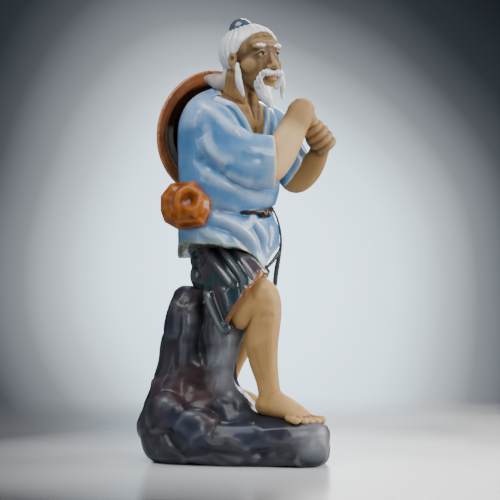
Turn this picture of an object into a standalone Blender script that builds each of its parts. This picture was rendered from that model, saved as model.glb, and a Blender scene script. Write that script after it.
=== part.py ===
"""Glazed stoneware figurine of an old fisherman stepping down from a rock.

The whole figurine is one fired piece of clay, so the model is one solid. It is built the way a modeller
builds it: lumps of clay are laid on (ellipsoids, limbs and lofted cloth), each area is pressed into one
skin, its folds are drawn into it with strokes, and all areas are then joined into one body.

Frame: metres, +Z up, origin under the middle of the base. -Y faces the viewer, +X is to the right. The man
faces right and towards the viewer, so his right hand and right leg are the near ones.
"""

import math

import bmesh
import bpy
import numpy as np
from mathutils import Euler, Matrix, Vector

# Driving sizes, in metres.
HEIGHT = 0.250  # from the underside of the rock to the top of the hair bun
HAT_RADIUS = 0.0365
HAT_CROWN_DEPTH = 0.0155
HAT_WALL = 0.0026
POUCH_WIDTH = 0.0280
POUCH_DEPTH = 0.0230
SASH_THICKNESS = 0.0020
HEM_WALL = 0.0022  # thickness of the cloth at hems and cuffs

# The pose is drawn on a grid of 250 to the height, so one grid unit is 1 mm at the size above.
GRID = HEIGHT / 250.0

# The skins of the areas, in grid units: the mesh size they are modelled at, and that of the joined body.
AREA_VOXEL = 0.85
SOFT_VOXEL = 0.85  # the mesh size that the numbers of smoothing steps are given for
BODY_VOXEL = 0.80
TRIANGLES = 9600

STROKE_STEPS = 90  # points along a stroke drawn into a skin

# Which way the figure turns, in degrees from +X towards the viewer.
TORSO_TURN = 40.0
HEAD_TURN = 50.0
HEAD_LIFT = 6.0
FOOT_TURN = 34.0
HAT_TURN = 60.0


def heading(turn):
    """Unit vectors forward and to the figure's own right, for a turn from +X towards the viewer."""
    a = math.radians(turn)
    return np.array((math.cos(a), -math.sin(a), 0.0)), np.array((-math.sin(a), -math.cos(a), 0.0))


def unit(v):
    v = np.asarray(v, float)
    return v / np.linalg.norm(v)


def between(a, b, c, d, t):
    """A place on the smooth curve from b to c, with a before them and d after (Catmull-Rom)."""
    bent = (2 * a - 5 * b + 4 * c - d) * t**2 + (3 * b - a - 3 * c + d) * t**3
    return 0.5 * (2 * b + (c - a) * t + bent)


def through(points, steps):
    """A smooth row of points through the given ones, with the given steps to a span."""
    p = np.asarray(points, float)
    p = np.vstack([2 * p[0] - p[1], p, 2 * p[-1] - p[-2]])
    out = []
    for i in range(1, len(p) - 2):
        for t in np.arange(steps) / steps:
            out.append(between(*p[i - 1:i + 3], t))
    out.append(p[-2])
    return np.array(out)


def round_outline(points, steps=6):
    """A smooth closed row of points through the given ones."""
    p = np.asarray(points, float)
    n = len(p)
    out = []
    for i in range(n):
        a, b, c, d = p[i - 1], p[i], p[(i + 1) % n], p[(i + 2) % n]
        for t in np.arange(steps) / steps:
            out.append(between(a, b, c, d, t))
    return np.array(out)


def ball(bm, centre, radii, turn=(0, 0, 0)):
    """An ellipsoid, with its half-axes turned by the three angles in degrees."""
    angles = [math.radians(a) for a in turn]
    place = (
        Matrix.Translation(Vector(centre) * GRID)
        @ Euler(angles).to_matrix().to_4x4()
        @ Matrix.Diagonal((*(r * GRID for r in radii), 1.0))
    )
    bmesh.ops.create_uvsphere(bm, u_segments=20, v_segments=14, radius=1.0, matrix=place)


def loft(bm, rings):
    """A closed skin over a row of rings that have the same number of points."""
    rows = [[bm.verts.new(Vector(p) * GRID) for p in ring] for ring in rings]
    for low, high in zip(rows, rows[1:]):
        for i in range(len(low)):
            j = (i + 1) % len(low)
            bm.faces.new((low[i], low[j], high[j], high[i]))
    bm.faces.new(rows[0][::-1])
    bm.faces.new(rows[-1])


def oval(centre, side, other, a, b, count=28, power=2.0):
    """A ring: half-width a along side and b along other. A power over 2 makes it squarer."""
    angles = np.arange(count) * 2 * math.pi / count
    c, s = np.cos(angles), np.sin(angles)
    u = np.sign(c) * np.abs(c) ** (2 / power) * a
    w = np.sign(s) * np.abs(s) ** (2 / power) * b
    return np.asarray(centre) + np.outer(u, side) + np.outer(w, other)


def limb(bm, stations, side=(0, 1, 0), steps=5, count=20, domes=(True, True)):
    """A round or oval limb through stations (x, y, z, half-width along side, half-width square to it)."""
    path = through([[*s, s[3]] if len(s) == 4 else s for s in stations], steps)
    tangents = np.gradient(path[:, :3], axis=0)
    rings = []
    for k, (p, t) in enumerate(zip(path, tangents)):
        t = unit(t)
        across = unit(np.asarray(side, float) - t * np.dot(side, t))
        other = np.cross(t, across)
        ring = [oval(p[:3], across, other, p[3], p[4], count)]
        at_end = 0 if k == 0 else 1 if k == len(path) - 1 else None
        if at_end is not None and domes[at_end]:
            way = -1 if at_end == 0 else 1
            reach = min(p[3], p[4])
            for angle in (35, 65, 85):
                c, s = math.cos(math.radians(angle)), math.sin(math.radians(angle))
                ring.append(oval(p[:3] + way * t * reach * s, across, other, p[3] * c, p[4] * c, count))
            if at_end == 0:
                ring = ring[::-1]
        rings += ring
    loft(bm, rings)


def object_from(bm, name):
    mesh = bpy.data.meshes.new(name)
    bmesh.ops.recalc_face_normals(bm, faces=bm.faces)
    bm.to_mesh(mesh)
    bm.free()
    obj = bpy.data.objects.new(name, mesh)
    bpy.context.scene.collection.objects.link(obj)
    return obj


def evaluated(obj):
    """The object's mesh with its modifiers applied, in place of the object's own."""
    graph = bpy.context.evaluated_depsgraph_get()
    mesh = bpy.data.meshes.new_from_object(obj.evaluated_get(graph))
    obj.modifiers.clear()
    obj.data = mesh
    return obj


def press(bm, name, voxel=AREA_VOXEL, soften=4):
    """The lumps of one area pressed into one skin."""
    obj = object_from(bm, name)
    skin = obj.modifiers.new("skin", "REMESH")
    skin.mode = "VOXEL"
    skin.voxel_size = voxel * GRID
    if soften:
        smooth = obj.modifiers.new("smooth", "SMOOTH")
        smooth.factor = 0.5
        smooth.iterations = round(soften * (SOFT_VOXEL / voxel) ** 2)
    return evaluated(obj)


def positions(mesh):
    co = np.empty(len(mesh.vertices) * 3)
    mesh.vertices.foreach_get("co", co)
    return co.reshape(-1, 3)


def normals(mesh):
    no = np.empty(len(mesh.vertices) * 3)
    mesh.vertices.foreach_get("normal", no)
    return no.reshape(-1, 3)


def move_to(mesh, co):
    mesh.vertices.foreach_set("co", co.astype(np.float32).ravel())
    mesh.update()


def carve(obj, strokes, azimuth=0.0, reach=(-999, 999)):
    """Draws strokes into a skin, as seen from an azimuth (0 is the viewer at -Y, 90 is from +X).

    A stroke is (kind, width, depth, points), with points (across, up) as seen from there, in grid units.
    A groove is cut in, a ridge raised, and a step raises the cloth on the left of its own direction.
    Only what faces the azimuth is moved, and only between the two reaches along the line of sight.
    """
    mesh = obj.data
    co = positions(mesh) / GRID
    no = normals(mesh)
    a = math.radians(azimuth)
    right = np.array((math.cos(a), math.sin(a), 0.0))
    near = np.array((math.sin(a), -math.cos(a), 0.0))
    facing = np.clip((no @ near - 0.05) / 0.3, 0, 1)
    depth_along = co @ near
    facing *= (depth_along > reach[0]) & (depth_along < reach[1])
    flat = np.column_stack([co @ right, co[:, 2]])
    shift = np.zeros(len(co))
    for kind, width, depth, points in strokes:
        line = through(points, STROKE_STEPS // (len(points) - 1))
        span = 3.2 * width
        low, high = line.min(0) - span, line.max(0) + span
        chosen = np.flatnonzero((facing > 0) & (flat > low).all(1) & (flat < high).all(1))
        if not len(chosen):
            continue
        gaps = flat[chosen, None, :] - line[None, :, :]
        squares = (gaps**2).sum(2)
        nearest = squares.argmin(1)
        distance = np.sqrt(squares.min(1))
        along = nearest / (len(line) - 1)
        taper = np.clip(np.minimum(along, 1 - along) * 5 + 0.15, 0, 1)
        way = np.gradient(line, axis=0)[nearest]
        gap = gaps[np.arange(len(chosen)), nearest]
        left = way[:, 0] * gap[:, 1] - way[:, 1] * gap[:, 0] > 0
        bell = np.exp(-((distance / width) ** 2))
        if kind == "groove":
            push = -depth * bell
        elif kind == "ridge":
            push = depth * bell
        else:
            push = depth * np.where(left, np.exp(-distance / (1.6 * width)), -0.35 * bell)
        shift[chosen] += push * taper * facing[chosen]
    move_to(mesh, (co + no * shift[:, None]) * GRID)


def dent(obj, dents):
    """Presses round hollows (or, with a negative depth, swellings) into a skin: (centre, radius, depth)."""
    mesh = obj.data
    co = positions(mesh) / GRID
    no = normals(mesh)
    for centre, radius, depth in dents:
        distance = np.linalg.norm(co - np.asarray(centre, float), axis=1) / radius
        weight = np.clip(1 - distance**2, 0, 1) ** 2
        co -= no * (weight * depth)[:, None]
    move_to(mesh, co * GRID)


def chip(obj, size, depth, seed):
    """Breaks a rock's skin into flat facets: each cell of a rough grid is cut by its own tilted plane."""
    mesh = obj.data
    co = positions(mesh) / GRID
    rng = np.random.default_rng(seed)
    low, high = co.min(0) - size, co.max(0) + size
    cells = np.ceil((high - low) / size).astype(int)
    grid = np.stack(np.meshgrid(*[np.arange(n) for n in cells], indexing="ij"), axis=-1).reshape(-1, 3)
    seeds = low + (grid + rng.uniform(0.1, 0.9, grid.shape)) * size
    tilts = rng.normal(size=grid.shape)
    tilts /= np.linalg.norm(tilts, axis=1)[:, None]
    squares = ((co[:, None, :] - seeds[None]) ** 2).sum(2)
    first, second = np.argsort(squares, axis=1)[:, :2].T
    near = np.sqrt(squares[np.arange(len(co)), first])
    far = np.sqrt(squares[np.arange(len(co)), second])
    fade = np.clip((far - near) / (0.5 * size), 0, 1) ** 0.7
    push = ((co - seeds[first]) * tilts[first]).sum(1) / size * depth * fade
    move_to(mesh, (co + normals(mesh) * push[:, None]) * GRID)


# The rock, as rings from the underside up: (x, y, z, half-width, half-depth).
SEAT_ROCK = [
    (-6, 0, 0, 40, 30),
    (-7, 0, 4, 44, 33),
    (-10, 1, 12, 43.5, 35),
    (-14, 1, 21, 40, 34),
    (-20, 2, 31, 31.5, 30),
    (-23, 2, 42, 25.5, 27),
    (-22.5, 2, 54, 22.5, 25),
    (-22.5, 1, 66, 19.5, 23),
    (-22.5, 0, 78, 16.5, 21),
    (-22.5, 0, 88, 14, 19),
    (-22.5, 0, 94, 12, 16),
    (-22, 0, 97.3, 8.5, 11),
]
BUTTRESS = [
    (1, -16, 10, 24, 17),
    (0, -16, 22, 19, 16),
    (-4, -15, 31, 13.5, 14),
    (-6.5, -14, 41, 9.5, 12.5),
    (-9, -13.5, 50, 7.4, 11.5),
    (-8, -13, 58, 8.5, 11.5),
    (-6.5, -12, 66, 9.8, 12),
    (-4.5, -12, 76, 11.2, 12),
    (-3, -11, 84, 9.5, 11),
]
# The ledge that carries the near foot: its outline where it is widest, then (height, inset) of each ring.
LEDGE = [
    (-44, -24), (-28, -33), (-8, -37), (10, -40), (26, -45), (40, -47), (49.5, -42), (52.5, -32), (51, -18),
    (46, 0), (40, 16), (28, 29), (12, 36), (-8, 38), (-28, 34), (-43, 22), (-49, 0),
]
LEDGE_RINGS = [(0, 5.5), (3, 1.8), (8, 0.3), (15, 0), (19, 0.8), (22.5, 3.2), (25, 9), (26.5, 16)]
ROCK_LUMPS = [
    ((-42.5, -12, 20), (9.6, 14, 18), (0, 12, 20)),
    ((-38, -20, 26), (13, 11, 15), (20, 0, -20)),
    ((-20, -26, 20), (17, 10, 11), (0, 0, 10)),
    ((-34, 10, 55), (12, 14, 26), (0, 12, 0)),
    ((-28, 22, 40), (18, 12, 24), (10, 0, 10)),
    ((2, 22, 19), (22, 14, 8), (0, 0, 0)),
    ((-30, -9, 74), (10, 11, 22), (0, 4, 0)),
    ((22, -30, 19), (22, 12, 7), (0, 4, -10)),
    ((42, -30, 14), (10, 13, 9), (0, 0, 0)),
]
ROCK_DENTS = [
    ((-21, -28, 47), 12, 4.5),
    ((-18, -27, 62), 11, 3.0),
    ((-33, -33, 15), 9, 1.6),
    ((14, -43, 6), 9, 2.2),
    ((-46, -8, 60), 16, 2.0),
    ((-20, 30, 60), 18, 3.5),
    ((10, 38, 10), 12, 3.0),
]
# Strokes in the rock as seen by the viewer: (kind, width, depth, points across and up).
ROCK_STROKES = [
    ("groove", 3.0, 3.0, [(-18.5, 96), (-18, 88), (-17.5, 79), (-19.5, 66), (-18.5, 52)]),
    ("ridge", 3.4, 1.6, [(-4, 72), (-5, 60), (-7, 48), (-10, 38)]),
    ("ridge", 3.6, 1.0, [(-28, 90), (-27.5, 76), (-29, 62), (-31, 50)]),
    ("groove", 3.2, 0.9, [(-36, 70), (-34, 58), (-38, 46), (-44, 38)]),
    ("ridge", 3.4, 1.3, [(-46, 36), (-34, 33), (-23, 29), (-13, 33), (0, 33)]),
    ("ridge", 2.6, 1.5, [(-26, 12), (-19, 19), (-12, 13.5), (-4, 16), (4, 12)]),
    ("groove", 2.2, 1.6, [(-20, 12), (-6, 9), (12, 8), (28, 11)]),
    ("groove", 2.2, 1.2, [(-38, 22), (-35, 13), (-28, 7)]),
    ("ridge", 2.2, 1.3, [(12, 19), (24, 15), (36, 17), (48, 20)]),
    ("groove", 1.8, 1.2, [(34, 15), (32, 8), (27, 3)]),
    ("ridge", 2.2, 1.0, [(4, 12), (9, 6), (13, 3)]),
]


def relax(obj, times):
    """Softens a skin."""
    smooth = obj.modifiers.new("smooth", "SMOOTH")
    smooth.factor = 0.5
    smooth.iterations = round(times * (SOFT_VOXEL / AREA_VOXEL) ** 2)
    evaluated(obj)


def inset_outline(points, inset):
    ring = round_outline(points, 4)
    way = np.roll(ring, -1, axis=0) - np.roll(ring, 1, axis=0)
    way /= np.linalg.norm(way, axis=1)[:, None]
    inward = np.column_stack([-way[:, 1], way[:, 0]])
    return ring + inward * inset


def flatten(obj):
    """Cuts the underside level with the ground."""
    mesh = obj.data
    co = positions(mesh)
    co[:, 2] = np.maximum(co[:, 2], 0.0)
    move_to(mesh, co)


def rock():
    bm = bmesh.new()
    for stations, count in ((SEAT_ROCK, 14), (BUTTRESS, 11)):
        rings = []
        for k, (x, y, z, a, b) in enumerate(through(stations, 2)):
            ring = oval((x, y, z), (1, 0, 0), (0, 1, 0), a, b, count, 2.6)
            wobble = 1 + 0.05 * np.sin(2.4 * np.arange(count) + 0.55 * k)
            ring[:, :2] = (x, y) + (ring[:, :2] - (x, y)) * wobble[:, None]
            rings.append(ring)
        loft(bm, rings)
    ledge = [(z, inset_outline(LEDGE, inset)) for z, inset in LEDGE_RINGS]
    loft(bm, [np.column_stack([ring, np.full(len(ring), z)]) for z, ring in ledge])
    for centre, radii, turn in ROCK_LUMPS:
        ball(bm, centre, radii, turn)
    obj = press(bm, "rock", soften=3)
    chip(obj, size=23.0, depth=5.5, seed=3)
    dent(obj, ROCK_DENTS)
    relax(obj, 7)
    carve(obj, ROCK_STROKES)
    relax(obj, 5)
    flatten(obj)
    return obj


# The robe's rings from the neck down: (x, y, z, half-width, half-depth, fall to the front), square to the
# way the torso faces.
ROBE = [
    (0.0, -1.5, 204.5, 13.5, 12.5, 0.45),
    (-1.5, -1, 202.5, 23, 17, 0.25),
    (-3, 0, 197.5, 30, 19.5, 0.12),
    (-4, 0.5, 190, 33, 22, 0),
    (-5, 0.5, 180, 31, 24, 0),
    (-4.4, 0, 168, 29.5, 26, 0),
    (-3.6, -0.5, 155, 29.5, 26.5, 0),
    (-4, 0, 146, 29, 24.5, 0),
    (-4.4, 0, 140.5, 27.5, 23, 0),
    (-4, 0, 131, 31, 25.2, 0),
    (-4, 0, 123, 31, 25.2, 0),
]
HEM_HEIGHT = 122.0
HEM_FLARE = 1.02
# The front panel of the robe hangs to a point, and the back falls lower than the sides.
FRONT_DROP = 8.0
FRONT_SPREAD = 36.0
FLAP_DROP = 6.5
FLAP_SPREAD = 10.0
BACK_DROP = 8.5
BACK_FROM = 106.0
BACK_TO = 136.0

# The opening over the chest, as (across, up) when seen from the front of the torso.
NECK_OPENING = [
    (-21, 211), (-18.5, 204), (-15.5, 198), (-12, 191), (-8, 183), (-2, 172), (4, 184), (6.5, 190), (10, 200),
    (13, 211),
]

# The lapels lie along the sides of the opening: how far out their ridge and their outer crease run.
LAPEL_RIDGE = 1.3
LAPEL_CREASE = 4.6
FAR_LAPEL = 0.15  # how bold the far lapel is, as a share of the near one

ROBE_STROKES = [
    ("ridge", 2.6, 1.0, [(-22, 202), (-14, 196), (-6, 189)]),
    ("groove", 3.0, 1.2, [(-23, 171), (-16, 166), (-6, 160), (5, 152)]),
    ("ridge", 3.0, 0.7, [(-20, 164), (-11, 158), (0, 152), (12, 147)]),
    ("groove", 2.0, 1.3, [(-13, 141), (-2, 139.5), (8, 137)]),
    ("ridge", 2.2, 1.5, [(-14, 138), (-3, 134), (7, 127), (13, 119)]),
    ("groove", 2.0, 1.3, [(-15, 133), (-2, 128), (6, 120.5), (10, 115)]),
    ("ridge", 2.4, 1.0, [(-21, 131), (-9, 124), (-2, 118)]),
    ("groove", 1.7, 1.2, [(9, 133), (13, 125), (15, 116)]),
    ("ridge", 1.7, 1.1, [(12, 134), (17, 125), (17, 114)]),
    ("groove", 1.5, 0.9, [(19, 134), (20, 126), (17, 118)]),
]
# The hollow of the back, where the lower edge of the hat lies on the cloth: (place, radius, depth).
BACK_HOLLOW = ((-18.5, 22.5, 148), 20, 4.6)
ROBE_BACK_STROKES = [
    ("groove", 2.6, 1.3, [(-20, 180), (-8, 172), (0, 160), (4, 148)]),
    ("groove", 2.6, 1.3, [(22, 182), (12, 170), (9, 156), (8, 146)]),
    ("ridge", 2.4, 1.1, [(-12, 136), (-8, 126), (-9, 116)]),
    ("groove", 2.2, 1.1, [(-3, 137), (0, 126), (-1, 116)]),
    ("ridge", 2.4, 1.1, [(10, 136), (12, 126), (12, 116)]),
    ("groove", 2.2, 1.1, [(18, 136), (20, 126), (20, 118)]),
]


def offset_line(points, gap):
    """A row of points moved to its left by a gap."""
    p = np.asarray(points, float)
    way = np.gradient(p, axis=0)
    way /= np.linalg.norm(way, axis=1)[:, None]
    return [tuple(q) for q in p + np.column_stack([-way[:, 1], way[:, 0]]) * gap]


def lapels():
    """Strokes along both sides of the opening: the raised edge and the crease outside it."""
    low = min(range(len(NECK_OPENING)), key=lambda i: NECK_OPENING[i][1])
    strokes = []
    for side, share in ((NECK_OPENING[:low + 1], 1.0), (NECK_OPENING[low:], FAR_LAPEL)):
        strokes.append(("ridge", 1.1, 1.3 * share, offset_line(side, -LAPEL_RIDGE)))
        strokes.append(("groove", 1.0, 1.1 * share, offset_line(side, -LAPEL_CREASE)))
    return strokes


def robe_ring(x, y, z, a, b, fall, inset=0.0, count=48):
    fore, right = heading(TORSO_TURN)
    ring = oval((x, y, z), right, fore, a - inset, b - inset, count, 2.15)
    ring[:, 2] -= fall * ((ring - (x, y, z)) @ fore)
    return ring


def drop_at(ring, centre):
    """How far the hem hangs below its height, all round."""
    fore, right = heading(TORSO_TURN)
    out = ring - centre
    angle = np.degrees(np.arctan2(out @ right, out @ fore))
    front = FRONT_DROP * np.exp(-((angle / FRONT_SPREAD) ** 2))
    front += FLAP_DROP * np.exp(-((angle / FLAP_SPREAD) ** 2))
    share = np.clip((np.abs(angle) - BACK_FROM) / (BACK_TO - BACK_FROM), 0, 1)
    return front + BACK_DROP * share**2 * (3 - 2 * share)


def sink(obj, outline, depth, azimuth):
    """Presses the inside of an outline into a skin, as seen from an azimuth, with a crisp edge."""
    mesh = obj.data
    co = positions(mesh) / GRID
    a = math.radians(azimuth)
    right = np.array((math.cos(a), math.sin(a), 0.0))
    near = np.array((math.sin(a), -math.cos(a), 0.0))
    flat = np.column_stack([co @ right, co[:, 2]])
    edge = np.asarray(outline, float)
    inside = np.zeros(len(co), bool)
    gap = np.full(len(co), 1e9)
    for p, q in zip(edge, np.roll(edge, -1, axis=0)):
        crosses = (p[1] > flat[:, 1]) != (q[1] > flat[:, 1])
        rise = np.where(crosses, q[1] - p[1], 1.0)
        inside ^= crosses & (flat[:, 0] < (q[0] - p[0]) * (flat[:, 1] - p[1]) / rise + p[0])
        way = q - p
        share = np.clip(((flat - p) @ way) / (way @ way), 0, 1)
        gap = np.minimum(gap, np.linalg.norm(flat - p - share[:, None] * way, axis=1))
    weight = np.where(inside, np.clip(gap / 0.9, 0, 1), 0.0) * (co @ near > 0)
    move_to(mesh, (co - near * (weight * depth)[:, None]) * GRID)


def robe():
    bm = bmesh.new()
    rings = [robe_ring(*s) for s in through(ROBE, 3)]
    x, y, z, a, b, fall = ROBE[-1]
    for share, flare in ((0.55, 1.012), (1.0, HEM_FLARE)):
        ring = robe_ring(x, y, z, a * flare, b * flare, fall)
        ring[:, 2] = z - share * (z - HEM_HEIGHT + drop_at(ring, np.array((x, y, z))))
        rings.append(ring)
    inner = rings[-1].copy()
    centre = inner.mean(0)
    inner[:, :2] = centre[:2] + (inner[:, :2] - centre[:2]) * (1 - HEM_WALL / GRID / b)
    rings.append(inner)
    loft(bm, rings)
    obj = press(bm, "robe", soften=5)
    dent(obj, [BACK_HOLLOW])
    front = 90 - TORSO_TURN
    sink(obj, NECK_OPENING, 4.5, azimuth=front)
    carve(obj, lapels(), azimuth=front, reach=(2, 999))
    carve(obj, ROBE_STROKES)
    carve(obj, ROBE_BACK_STROKES, azimuth=180)
    return obj


# The collar runs round the back of the neck: (x, y, z) along its middle.
COLLAR = [
    (-7.0, -9.6, 202.6), (-9.0, -6.8, 204.8), (-10.4, -2, 206.4), (-9, 4.8, 207), (-3.2, 8.4, 207),
    (4.4, 8.8, 205.4), (9, 6.4, 202.4),
]


def collar():
    bm = bmesh.new()
    limb(bm, [(*p, 1.4, 1.9) for p in COLLAR], side=(0.766, -0.643, 0.35), steps=4)
    return press(bm, "collar", voxel=0.6, soften=2)


# The near sleeve's rings from the shoulder to the opening: (x, y, z, half-height, half-depth, lean).
NEAR_SLEEVE = [
    (-21, -13, 195, 8, 9, 45),
    (-17, -18, 190, 12, 11.5, 42),
    (-11, -21, 182, 13.5, 12, 34),
    (-3, -23, 174, 14.5, 11.5, 22),
    (5, -24, 169, 15.3, 11, 9),
    (13, -23.5, 167.5, 15.3, 10.5, 1),
    (20.5, -22.5, 167, 14.8, 10, 0),
]
NEAR_SLEEVE_STROKES = [
    ("ridge", 3.0, 1.4, [(-19, 200), (-14.5, 196), (-8, 190), (-2, 185.5), (6, 183)]),
    ("groove", 3.6, 0.7, [(-23, 190), (-17, 182), (-9, 178), (1, 178)]),
    ("ridge", 2.4, 0.8, [(-17, 184), (-14.5, 175), (-8.5, 168.5), (-3, 167)]),
    ("ridge", 2.4, 0.8, [(-7, 161.5), (2, 158), (10, 155)]),
    ("groove", 2.6, 0.5, [(2, 171), (9, 169), (16, 169)]),
]
CUFF_DEPTH = 5.0


def sleeve(stations, name, way, hollow):
    """A wide sleeve: rings that stand upright and lean, with a hollow end the arm comes out of."""
    bm = bmesh.new()
    rings = []
    path = through(stations, 3)
    for x, y, z, a, b, lean in path:
        t = math.radians(lean)
        up = np.array((math.sin(t) * way[0], math.sin(t) * way[1], math.cos(t)))
        forward = np.array((way[0], way[1], 0.0))
        side = np.cross(up, forward)
        rings.append(oval((x, y, z), up, side, a, b, 32, 2.3))
    last = path[-1]
    t = math.radians(last[5])
    up = np.array((math.sin(t) * way[0], math.sin(t) * way[1], math.cos(t)))
    forward = np.cross(np.cross(up, (way[0], way[1], 0.0)), up)
    middle = rings[-1].mean(0)
    rings.append(middle + (rings[-1] - middle) * 0.985 + forward * 0.7)
    rings.append(middle + (rings[-2] - middle) * (1 - hollow / last[4]) + forward * 0.3)
    rings.append(middle + (rings[-3] - middle) * (1 - 1.5 * hollow / last[4]) - forward * CUFF_DEPTH)
    loft(bm, rings)
    return press(bm, name, soften=2)


# The far sleeve hangs from the shoulder to the far elbow, and opens down and to the right.
FAR_SLEEVE = [
    (10, 16, 196, 9, 11, 50),
    (17, 17, 190, 11.5, 12, 46),
    (23, 16, 182, 12.5, 11.5, 42),
    (28.4, 14, 173.0, 12.7, 11, 36),
    (33.4, 12.2, 164.6, 12.4, 10.5, 33),
]


def sleeves():
    near = sleeve(NEAR_SLEEVE, "near sleeve", (0.99, 0.12), HEM_WALL / GRID)
    carve(near, NEAR_SLEEVE_STROKES)
    far = sleeve(FAR_SLEEVE, "far sleeve", (0.97, 0.24), HEM_WALL / GRID)
    return [near, far]


# Arms: (x, y, z, half-width along the line of sight, half-width square to it).
NEAR_ARM = [
    (12, -23, 163, 7.5, 7.5),
    (18.5, -22, 163.5, 7.8, 8.4),
    (24, -19.5, 170.5, 8.0, 8.8),
    (28.3, -17, 179, 7.8, 8.5),
    (32.4, -14.5, 187.5, 7.4, 7.8),
    (35.6, -12.5, 193.5, 7.4, 7.7),
    (37, -11.5, 196.5, 7.0, 7.4),
]
FAR_ARM = [
    (22, 15, 171, 6, 6),
    (29, 14, 161.5, 6.6, 6.6),
    (34, 13, 157.6, 7.4, 7.4),
    (40, 9.5, 162, 7.2, 7.4),
    (44.3, 6, 168, 6.2, 6.5),
    (46.8, 3.8, 173.5, 5.4, 5.6),
    (48.0, 3.0, 179, 5.0, 5.6),
]
# A fist: (middle, way along the gripped axis, way the knuckles point, size of a finger, end with the thumb).
NEAR_FIST = ((37.4, -5.8, 192.4), (0.54, 0.49, -0.69), (0.55, -0.35, 0.75), 2.3, -1)
NEAR_KNUCKLES = ((36.2, -12, 194.8), (8.0, 6.8, 7.6), (0, 30, 0))
FAR_FIST = ((46.6, -1.0, 181.6), (-0.58, -0.30, 0.76), (0.74, 0.22, 0.64), 2.4, 1)


def ball_in(bm, centre, ways, radii):
    """An ellipsoid with its half-axes along three given ways, square to one another."""
    turn = Matrix([[*(w[i] * r for w, r in zip(ways, radii))] for i in range(3)]).to_4x4()
    place = Matrix.Translation(Vector(centre) * GRID) @ Matrix.Diagonal((GRID, GRID, GRID, 1.0)) @ turn
    bmesh.ops.create_uvsphere(bm, u_segments=20, v_segments=14, radius=1.0, matrix=place)


# A fist in shares of a finger's thickness: the back of the hand and the palm, the spread of the fingers, the
# reach of each, and the thumb as (degrees round the grip, along the grip).
HAND_BACK = (3.1, 2.0, 3.15)
PALM = (2.2, 2.1, 3.1)
FINGER_GAP = 1.72
FINGER_REACH = (0.95, 1.03, 1.0, 0.9)
THUMB = ((262, 0.9), (240, 2.0), (205, 2.7), (165, 2.8))


def fist(bm, middle, axis, knuckles, finger, thumb_end):
    """A hand closed round an axis: the back of the hand, four curled fingers, and the thumb over them."""
    axis = unit(axis)
    out = unit(np.asarray(knuckles) - axis * np.dot(knuckles, axis))
    over = np.cross(out, axis)
    middle = np.asarray(middle, float)
    ways = (out, over, axis)
    ball_in(bm, middle - over * 2.2 + out * 0.3, ways, [finger * r for r in HAND_BACK])
    ball_in(bm, middle, ways, [finger * r for r in PALM])
    for i, length in enumerate(FINGER_REACH):
        base = middle + axis * (i - 1.5) * FINGER_GAP * finger
        points = []
        for angle in range(-40, 216, 32):
            t = math.radians(angle)
            reach = 2.3 * finger * length * (1.0 - 0.0004 * max(angle, 0))
            p = base + out * reach * math.cos(t) + over * 0.95 * reach * math.sin(t)
            points.append((*p, finger * 0.98, finger * 0.92))
        limb(bm, points, side=axis, steps=3, count=12)
    thumb = []
    for angle, along in THUMB:
        t = math.radians(angle)
        round_grip = (out * math.cos(t) + over * math.sin(t)) * 2.0 * finger
        thumb.append((*(middle + axis * thumb_end * along * finger + round_grip), finger * 1.05, finger))
    limb(bm, thumb, side=axis, steps=4, count=12)


def arms():
    bm = bmesh.new()
    limb(bm, NEAR_ARM)
    fist(bm, *NEAR_FIST)
    ball(bm, *NEAR_KNUCKLES)
    near = press(bm, "near arm", voxel=0.6, soften=2)
    bm = bmesh.new()
    limb(bm, FAR_ARM)
    fist(bm, *FAR_FIST)
    far = press(bm, "far arm", voxel=0.6, soften=2)
    return [near, far]


# Trousers: rings square to each thigh (x, y, z, half-height, half-width).
NEAR_TROUSER = [
    (-13, -2, 111, 14, 17),
    (-7, -9, 108, 16.5, 16),
    (-0.5, -18, 100, 18, 14.5),
    (5.4, -25, 90.0, 20.4, 12.8),
]
FAR_TROUSER = [(-6, 8, 112, 15, 14), (2, 13, 108, 14.5, 13), (8, 16, 102, 14, 12), (12, 16, 95, 14, 11)]
SEAT = [((-6, 2, 113), (20, 21, 14)), ((-10.5, -1, 104), (15.5, 17, 13))]
THIGH_WAY = (0.80, -0.22, -0.57)
FAR_THIGH_WAY = (0.86, 0.10, -0.50)
TROUSER_STROKES = [
    ("ridge", 2.2, 1.6, [(-18, 124), (-13, 114), (-5, 103), (0, 97)]),
    ("groove", 1.8, 1.6, [(-15, 126), (-9, 115), (-1, 105), (3, 98)]),
    ("ridge", 1.9, 1.7, [(-11, 124), (-4, 113), (3, 103), (5, 94)]),
    ("groove", 1.8, 1.4, [(-5, 122), (2, 112), (9, 101)]),
    ("ridge", 1.7, 1.3, [(-5, 98), (-3, 92), (-2, 86)]),
    ("groove", 1.6, 1.0, [(-14.5, 96), (-11.5, 87), (-6.5, 77)]),
    ("ridge", 1.7, 1.2, [(-8, 100), (-5.5, 92), (-3, 84)]),
    ("groove", 1.8, 1.3, [(-24, 120), (-22, 108), (-20, 100)]),
    ("ridge", 1.6, 0.9, [(6, 119), (12, 111), (14, 106)]),
]


# The back corner of the near trouser leg hangs down as a tongue: its outline as (across, up) seen by the
# viewer, then (depth, inset) of each ring from the back to the front.
TROUSER_FLAP = [(-16.5, 97), (-17.6, 92), (-8.6, 73.4), (-0.6, 75.2), (-2.6, 80.5), (1, 88), (-3, 97)]
FLAP_RINGS = [(-14, 1.5), (-16.5, 0), (-29, 0), (-31.5, 1.8)]
FLAP_LEAN = 0.35  # how far it leans in, for each unit of height
FLAP_MIDDLE = 80


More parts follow.
